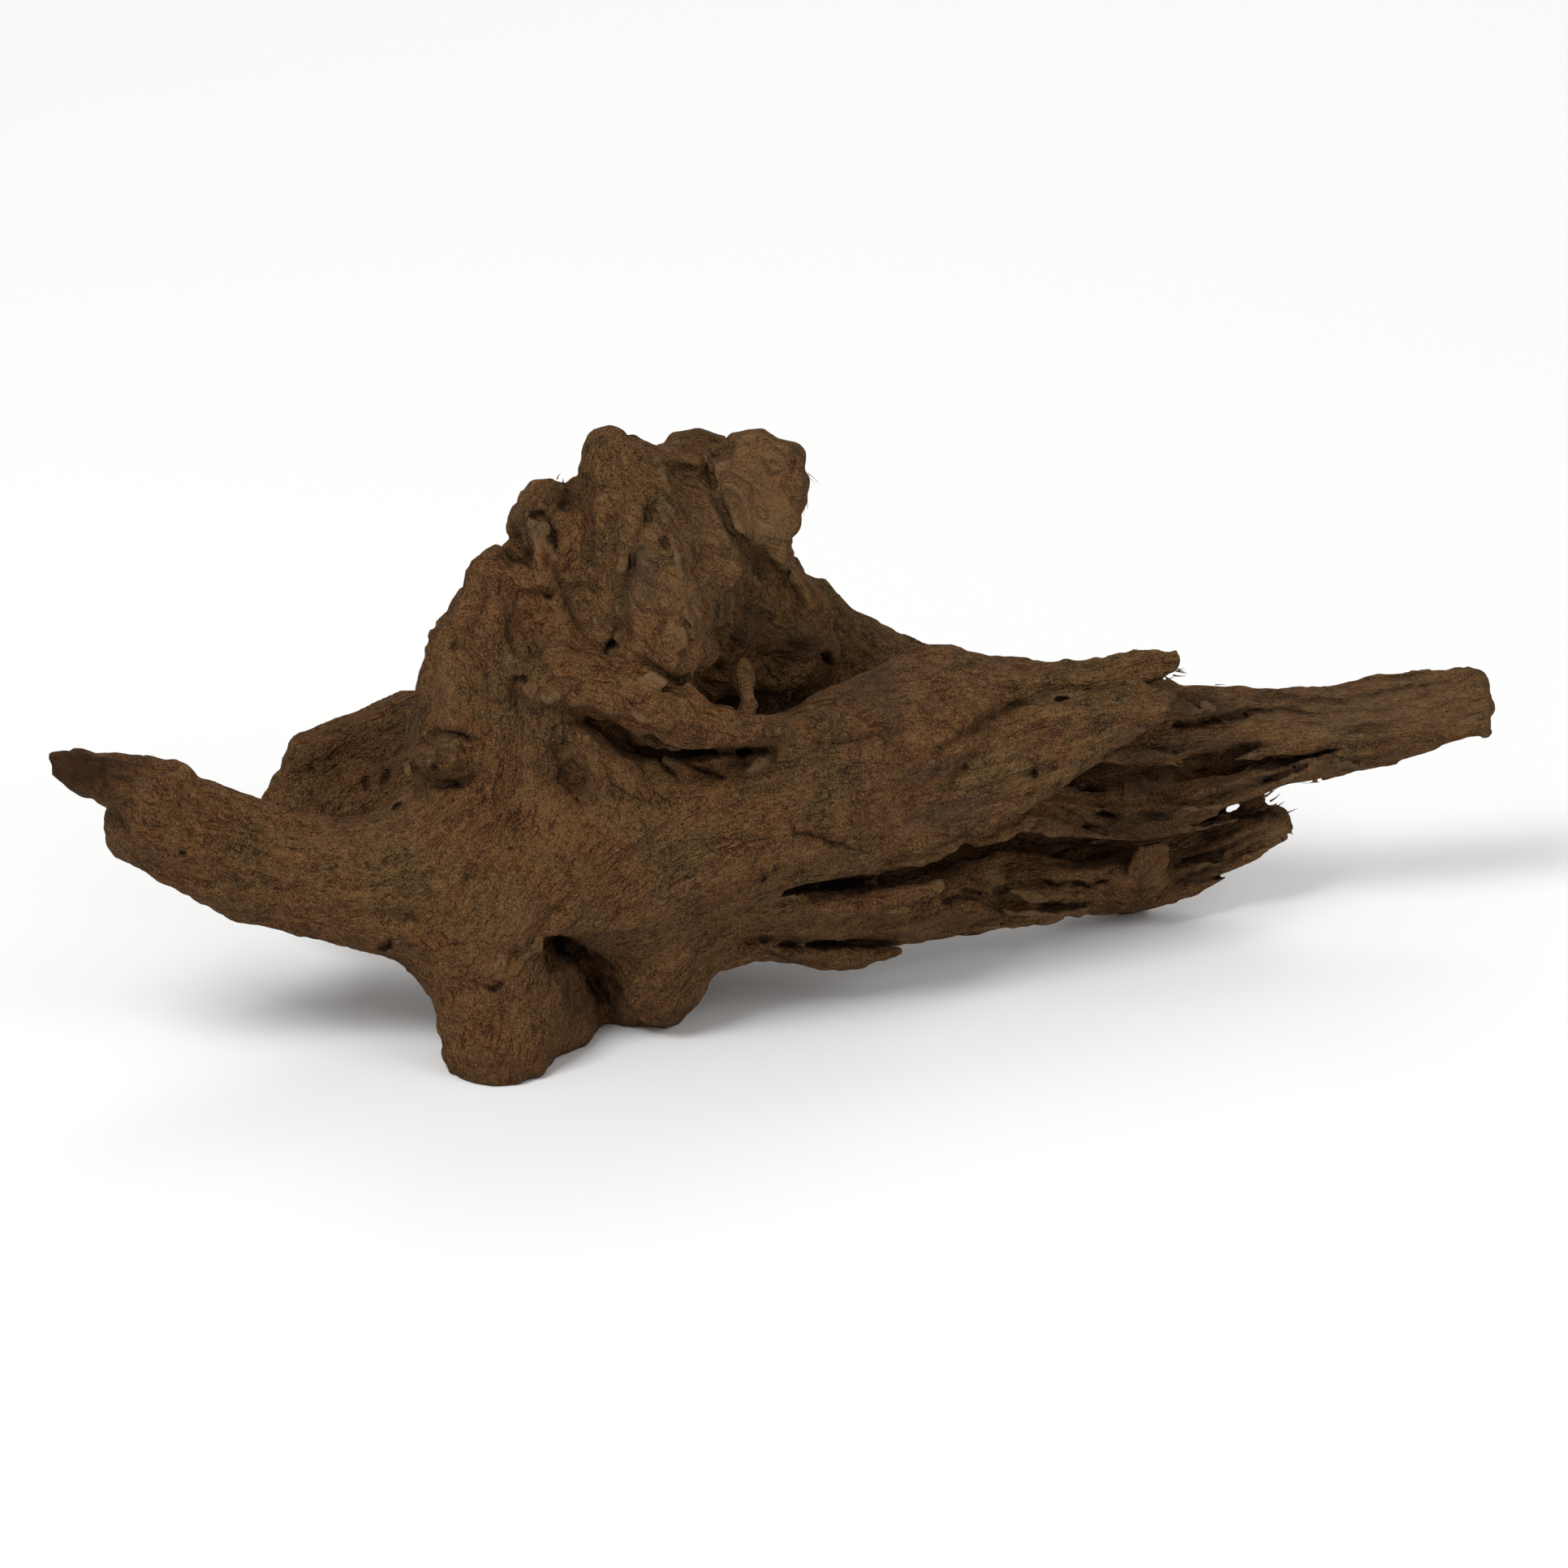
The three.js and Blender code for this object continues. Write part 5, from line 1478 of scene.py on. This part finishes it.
@dataclass
class LooseFibres:
    """Hairs and splinters at the frayed ends, as thin tapered strands."""

    name: str = "loose_fibres"
    seed: int = 21
    sides: int = 5
    rings: int = 7
    bend: float = 0.35
    taper: float = 0.85
    flatness: float = 0.6
    root_spread: float = 3.0
    aim_spread: float = 0.25
    lengths: tuple[float, float] = (0.5, 1.1)
    widths: tuple[float, float] = (0.6, 1.2)
    slant: tuple[float, float, float] = (0.3, 0.5, 0.8)
    grain: tuple[float, float, float] = (0.3, 1.0, 1.0)
    # Every fibre gets a little painted shade and a painted highlight, and is a little paler and greyer.
    painted_shade_and_highlight: tuple[float, float, float] = (0.15, 0.45, 0.0)
    tone_and_painted_light: tuple[float, float, float] = (0.0, 0.3, 0.1)

    def strand(self, root: np.ndarray, aim: np.ndarray, length: float, thick: float,
               rng: np.random.Generator) -> tuple[list, list]:
        """One strand.

        Args:
            root: Where it starts, in millimetres.
            aim: Its direction.
            length: Its length.
            thick: Its radius at the root.
            rng: Random source.

        Returns:
            Points and faces.
        """
        aim = aim / np.linalg.norm(aim)
        bend = rng.normal(size=3) * self.bend
        side = np.cross(aim, self.slant)
        side /= np.linalg.norm(side)
        other = np.cross(aim, side)
        points, faces = [], []
        for i in range(self.rings):
            t = i / (self.rings - 1)
            centre = root + aim * length * t + bend * length * t * t * 0.5
            size = thick * (1 - self.taper * t)
            for j in range(self.sides):
                turn = 2 * math.pi * j / self.sides
                offset = side * math.cos(turn) * size + other * math.sin(turn) * size * self.flatness
                points.append(tuple(((centre + offset) - MIDDLE) * MM))
        for i in range(self.rings - 1):
            for j in range(self.sides):
                k = (j + 1) % self.sides
                base = i * self.sides
                faces.append((base + j, base + k, base + self.sides + k, base + self.sides + j))
        faces.append(tuple(range(self.sides - 1, -1, -1)))
        faces.append(tuple((self.rings - 1) * self.sides + j for j in range(self.sides)))
        return points, faces

    def build(self, finish: "DryWood") -> bpy.types.Object:
        """Builds every tuft as one object.

        Args:
            finish: The wood's finish.

        Returns:
            The object, in the scene.
        """
        rng = np.random.default_rng(self.seed)
        points: list = []
        faces: list = []
        for tuft in TUFTS:
            for _ in range(tuft.count):
                spread = rng.normal(size=3) * tuft.spread
                root = place(*tuft.root) + spread * self.root_spread
                aim = place(*tuft.aim) + spread * self.aim_spread
                length = tuft.length * rng.uniform(*self.lengths)
                thick = tuft.thick * rng.uniform(*self.widths)
                more, sides = self.strand(root, aim, length, thick, rng)
                start = len(points)
                points += more
                faces += [tuple(start + i for i in face) for face in sides]
        mesh = bpy.data.meshes.new(self.name)
        mesh.from_pydata(points, [], faces)
        mesh.update()
        mesh.polygons.foreach_set("use_smooth", [True] * len(mesh.polygons))
        piece = bpy.data.objects.new(self.name, mesh)
        bpy.context.scene.collection.objects.link(piece)
        store(mesh, "grain", np.array(points) * np.array(self.grain))
        store(mesh, "painted_shade_and_highlight", np.tile(self.painted_shade_and_highlight, (len(points), 1)))
        store(mesh, "tone_and_painted_light", np.tile(self.tone_and_painted_light, (len(points), 1)))
        mesh.materials.append(finish.build())
        log.info("%s: %d faces", self.name, len(faces))
        return piece


class Reading:
    """A socket that carries one number, with the usual arithmetic."""

    def __init__(self, desk: "Bench", socket: bpy.types.NodeSocket) -> None:
        """Keeps the socket and the node tree it is in."""
        self.desk = desk
        self.socket = socket

    def join(self, operation: str, a: Any, b: Any) -> "Reading":
        """Adds a Math node over two readings or numbers."""
        return self.desk.read("ShaderNodeMath", {"operation": operation}, {0: a, 1: b})

    def __add__(self, other: Any) -> "Reading":
        """Sum."""
        return self.join("ADD", self, other)

    def __radd__(self, other: Any) -> "Reading":
        """Sum, reflected."""
        return self.join("ADD", other, self)

    def __sub__(self, other: Any) -> "Reading":
        """Difference."""
        return self.join("SUBTRACT", self, other)

    def __rsub__(self, other: Any) -> "Reading":
        """Difference, reflected."""
        return self.join("SUBTRACT", other, self)

    def __mul__(self, other: Any) -> "Reading":
        """Product."""
        return self.join("MULTIPLY", self, other)

    def __rmul__(self, other: Any) -> "Reading":
        """Product, reflected."""
        return self.join("MULTIPLY", other, self)

    def __abs__(self) -> "Reading":
        """Size without its sign."""
        return self.desk.read("ShaderNodeMath", {"operation": "ABSOLUTE"}, {0: self})

    def step(self, low: float, high: float) -> "Reading":
        """Adds a smooth step between two values.

        Args:
            low: Where the step is at 0.
            high: Where it is at 1.

        Returns:
            The step, from 0 to 1.
        """
        settings = {"interpolation_type": "SMOOTHSTEP"}
        values = {"Value": self, "From Min": low, "From Max": high, "To Min": 0.0, "To Max": 1.0}
        return self.desk.read("ShaderNodeMapRange", settings, values)


class Bench:
    """Adds nodes to one material."""

    def __init__(self, tree: bpy.types.NodeTree) -> None:
        """Keeps the tree."""
        self.tree = tree

    def node(self, kind: str, settings: dict, values: dict) -> bpy.types.Node:
        """Adds a node.

        Args:
            kind: The node's type.
            settings: Its properties, set first.
            values: A number, colour, socket or Reading for each socket, by name or place.

        Returns:
            The node.
        """
        made = self.tree.nodes.new(kind)
        for name, setting in settings.items():
            setattr(made, name, setting)
        for name, value in values.items():
            socket = made.inputs[name]
            if isinstance(value, Reading):
                self.tree.links.new(value.socket, socket)
            elif isinstance(value, bpy.types.NodeSocket):
                self.tree.links.new(value, socket)
            else:
                socket.default_value = value
        return made

    def read(self, kind: str, settings: dict, values: dict) -> Reading:
        """Adds a node and reads its first output, which carries a number."""
        return Reading(self, self.node(kind, settings, values).outputs[0])

    def attribute(self, name: str) -> bpy.types.NodeSocket:
        """Adds a node that reads what a mesh keeps under a name."""
        return self.node("ShaderNodeAttribute", {"attribute_name": name}, {}).outputs["Vector"]

    def split(self, vector: bpy.types.NodeSocket) -> list[Reading]:
        """Splits three numbers into readings."""
        made = self.node("ShaderNodeSeparateXYZ", {}, {0: vector})
        return [Reading(self, socket) for socket in made.outputs]

    def mix(self, share: Any, a: Any, b: Any) -> bpy.types.NodeSocket:
        """Mixes two colours by a share from 0 to 1."""
        return self.node("ShaderNodeMix", {"data_type": "RGBA"}, {0: share, 6: a, 7: b}).outputs[2]


@dataclass(frozen=True)
class DryWood:
    """Dry, fibrous, unfinished wood with dark cracks, painted shade in clefts and hollows and painted
    highlight on thin edges.
    """

    name: str = "dry driftwood"
    # The darkest colour: cracks and specks, and the painted shade of hollows and drawn lines.
    deep: tuple[float, float, float, float] = (0.0055, 0.0026, 0.0012, 1)
    # Dark: darker streaks and patches, and painted shade where dark patches lie in hollows.
    dark: tuple[float, float, float, float] = (0.0360, 0.0160, 0.0060, 1)
    middle: tuple[float, float, float, float] = (0.1120, 0.0530, 0.0185, 1)
    olive: tuple[float, float, float, float] = (0.1020, 0.0600, 0.0205, 1)
    red: tuple[float, float, float, float] = (0.1380, 0.0560, 0.0175, 1)
    tan: tuple[float, float, float, float] = (0.1950, 0.1010, 0.0400, 1)
    grey: tuple[float, float, float, float] = (0.0560, 0.0430, 0.0320, 1)
    # The palest colour: bleached specks and patches, and the painted highlight on thin edges.
    bleached_and_highlight: tuple[float, float, float, float] = (0.2200, 0.1300, 0.0640, 1)
    roughness: float = 0.86
    gloss: float = 0.1
    relief: float = 0.0032

    def build(self) -> bpy.types.Material:
        """Makes the material on the first call.

        Returns:
            The material.
        """
        material = bpy.data.materials.get(self.name)
        if not material:
            material = bpy.data.materials.new(self.name)
            material.use_nodes = True
            material.node_tree.nodes.clear()
            self.dress(Bench(material.node_tree))
        return material

    def pattern(self, bench: Bench, at: Any, scale: tuple[float, float, float], detail: float,
                rough: float = 0.55) -> Reading:
        """Adds a soft random pattern.

        Args:
            bench: The material's nodes.
            at: The three distances it runs over.
            scale: Its count per metre along each of them.
            detail: How many finer steps it has.
            rough: How strong they are.

        Returns:
            The pattern, near 0.5.
        """
        moved = bench.node("ShaderNodeVectorMath", {"operation": "MULTIPLY"}, {0: at, 1: scale})
        settings = {"noise_dimensions": "3D"}
        values = {"Vector": moved.outputs[0], "Scale": 1.0, "Detail": detail, "Roughness": rough}
        return bench.read("ShaderNodeTexNoise", settings, values)

    def dress(self, bench: Bench) -> None:
        """Builds the wood's colour, roughness and bump.

        Args:
            bench: The material's nodes.
        """
        grain = bench.attribute("grain")
        place_at = bench.node("ShaderNodeTexCoord", {}, {}).outputs["Object"]
        # Painted shade of hollows, painted highlight of thin edges, painted shade of the drawn lines.
        hollow, edge, line = bench.split(bench.attribute("painted_shade_and_highlight"))
        dark, pale, grey = bench.split(bench.attribute("tone_and_painted_light"))
        right, _, up = bench.split(place_at)

        streaks = self.pattern(bench, grain, (70, 430, 430), 3.0, 0.6)
        flecks = self.pattern(bench, grain, (130, 1050, 1050), 3.0, 0.6)
        clouds = self.pattern(bench, place_at, (42, 42, 42), 3.0)
        blots = self.pattern(bench, place_at, (125, 125, 125), 4.0, 0.62)
        crumbs = self.pattern(bench, grain, (480, 1150, 1150), 3.0, 0.65)
        grit = self.pattern(bench, place_at, (1900, 1900, 1900), 2.0, 0.6)
        fibres = self.pattern(bench, grain, (42, 1300, 1300), 2.0, 0.6)
        cracks = self.pattern(bench, grain, (48, 330, 330), 3.0, 0.5)
        drawn = self.pattern(bench, place_at, (60, 60, 60), 2.0).step(0.40, 0.60)
        thread = abs(fibres - 0.5).step(0.055, 0.0) * (0.25 + drawn * 0.75)
        crack = abs(cracks - 0.5).step(0.03, 0.0) * blots.step(0.42, 0.60)
        layers = right.step(0.0, 0.08)
        low = up.step(0.055, 0.02)

        hue = bench.mix(clouds.step(0.42, 0.60) * (1 - low * 0.8), self.red, self.olive)
        base = bench.mix(blots.step(0.40, 0.60), self.middle, hue)
        base = bench.mix(blots.step(0.54, 0.72) * 0.55, base, self.dark)
        base = bench.mix(blots.step(0.44, 0.28) * 0.4, base, self.tan)
        base = bench.mix(streaks.step(0.50, 0.30) * (0.25 + drawn * 0.4 + layers * 0.3), base, self.dark)
        base = bench.mix(streaks.step(0.52, 0.70) * (0.35 + layers * 0.35), base, self.tan)
        base = bench.mix(flecks.step(0.46, 0.30) * 0.4, base, self.dark)
        base = bench.mix(flecks.step(0.56, 0.74) * 0.35, base, self.tan)
        base = bench.mix(thread * 0.25, base, self.dark)
        base = bench.mix(crack * 0.5, base, self.deep)
        base = bench.mix(crumbs.step(0.54, 0.66) * (0.75 - layers * 0.25), base, self.dark)
        base = bench.mix(crumbs.step(0.46, 0.34) * 0.55, base, self.tan)
        base = bench.mix(grit.step(0.54, 0.68) * 0.65, base, self.bleached_and_highlight)
        base = bench.mix(grit.step(0.46, 0.32) * 0.75, base, self.deep)
        base = bench.mix(grey * (0.5 + blots * 0.7), base, self.grey)
        # Pale patches and paler fibres; on the ear and the tongue's ridge this is a painted highlight.
        base = bench.mix(pale * (0.25 + streaks * 0.8), base, self.bleached_and_highlight)
        # Painted highlight on thin edges and ridges.
        base = bench.mix(edge.step(0.36, 0.75) * 0.45, base, self.bleached_and_highlight)
        # Dark patches: darker wood, and painted shade in the feet's hollow, the recesses, the dent and
        # the eye.
        base = bench.mix(dark * (0.65 + blots * 0.6), base, self.dark)
        # Painted shade in hollows, where the wood closes round a point.
        base = bench.mix(hollow.step(0.40, 0.92) * 0.8, base, self.deep)
        # Painted shade along the drawn cracks, holes and grooves.
        base = bench.mix(line * (0.45 + blots), base, self.deep)

        height = streaks * (0.5 + layers * 0.6) + flecks * 0.5 + crumbs * 0.5 + blots * 0.6 + grit * 0.22
        height = height - thread * 0.05 - crack * 0.25
        values = {"Strength": 1.0, "Distance": self.relief, "Height": height}
        bump = bench.node("ShaderNodeBump", {}, values)
        values = {
            "Base Color": base,
            "Roughness": self.roughness + flecks * 0.12,
            "Normal": bump.outputs[0],
            "Specular IOR Level": self.gloss,
        }
        shader = bench.node("ShaderNodeBsdfPrincipled", {}, values)
        bench.node("ShaderNodeOutputMaterial", {}, {"Surface": shader.outputs[0]})


@dataclass(frozen=True)
class PaleFloor:
    """Plain matt floor."""

    name: str = "pale floor"
    colour: tuple[float, float, float, float] = (0.86, 0.86, 0.855, 1)
    roughness: float = 0.9
    gloss: float = 0.1

    def build(self) -> bpy.types.Material:
        """Makes the material.

        Returns:
            The material.
        """
        material = bpy.data.materials.new(self.name)
        material.use_nodes = True
        shader = material.node_tree.nodes["Principled BSDF"]
        shader.inputs["Base Color"].default_value = self.colour
        shader.inputs["Roughness"].default_value = self.roughness
        shader.inputs["Specular IOR Level"].default_value = self.gloss
        return material


@dataclass(frozen=True)
class Lamp:
    """A square soft light that looks at the wood. Place and size are in metres."""

    name: str
    at: tuple[float, float, float]
    size: float
    watts: float


@dataclass
class Studio:
    """Pale floor, soft light from all round and the camera at the picture's angle."""

    focus: tuple[float, float, float] = (3.6, 84.0, 60.0)
    distance: float = 5.0
    seen_width: float = 0.4342
    sensor: float = 36.0
    sight_end: float = 50.0
    floor_size: float = 9.0
    lit_point: tuple[float, float, float] = (0.0, 0.0, 0.07)
    sky: float = 0.5
    lamps: tuple[Lamp, ...] = (
        Lamp("key light", (-0.9, -1.0, 1.9), 0.9, 32.0),
        Lamp("right light", (1.5, -0.9, 1.3), 1.2, 9.0),
        Lamp("back light", (0.4, 1.6, 1.5), 1.3, 12.0),
    )

    def floor(self) -> None:
        """Lays the floor."""
        half = self.floor_size / 2
        corners = [(-half, -half, 0), (half, -half, 0), (half, half, 0), (-half, half, 0)]
        mesh = bpy.data.meshes.new("floor")
        mesh.from_pydata(corners, [], [(0, 1, 2, 3)])
        mesh.materials.append(PaleFloor().build())
        piece = bpy.data.objects.new("floor", mesh)
        bpy.context.scene.collection.objects.link(piece)

    def hang(self, lamp: Lamp) -> None:
        """Hangs one light.

        Args:
            lamp: Its name, place, size and power.
        """
        data = bpy.data.lights.new(lamp.name, "AREA")
        data.shape = "SQUARE"
        data.size = lamp.size
        data.energy = lamp.watts
        light = bpy.data.objects.new(lamp.name, data)
        light.location = lamp.at
        look = Vector(self.lit_point) - Vector(lamp.at)
        light.rotation_euler = look.to_track_quat("-Z", "Y").to_euler()
        bpy.context.scene.collection.objects.link(light)

    def lights(self) -> None:
        """Hangs the lights and sets the world's own soft light."""
        for lamp in self.lamps:
            self.hang(lamp)
        world = bpy.data.worlds.new("studio")
        world.use_nodes = True
        sky = world.node_tree.nodes["Background"]
        sky.inputs["Color"].default_value = (1, 1, 1, 1)
        sky.inputs["Strength"].default_value = self.sky
        bpy.context.scene.world = world

    def camera(self) -> None:
        """Sets up the camera."""
        data = bpy.data.cameras.new("camera")
        data.sensor_width = self.sensor
        data.lens = self.sensor * self.distance / self.seen_width
        data.clip_end = self.sight_end
        camera = bpy.data.objects.new("camera", data)
        look = Vector(AWAY)
        target = Vector((place(*self.focus) - MIDDLE) * MM)
        camera.location = target - look * self.distance
        camera.rotation_euler = look.to_track_quat("-Z", "Y").to_euler()
        bpy.context.scene.collection.objects.link(camera)
        bpy.context.scene.camera = camera

    def build(self) -> None:
        """Builds the whole studio."""
        self.floor()
        self.lights()
        self.camera()
        bpy.context.scene.view_settings.view_transform = "Standard"


def main() -> None:
    """Builds the wood, its fibres and the studio."""
    logging.basicConfig(level=logging.INFO, format="%(message)s")
    finish = DryWood()
    wood = WoodMesh().build(finish)
    fibres = LooseFibres().build(finish)
    for piece in (*wood, fibres):
        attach(piece, "root")
    for piece in wood:
        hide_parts("driftwood")
    Studio().build()


if __name__ == "__main__":
    main()
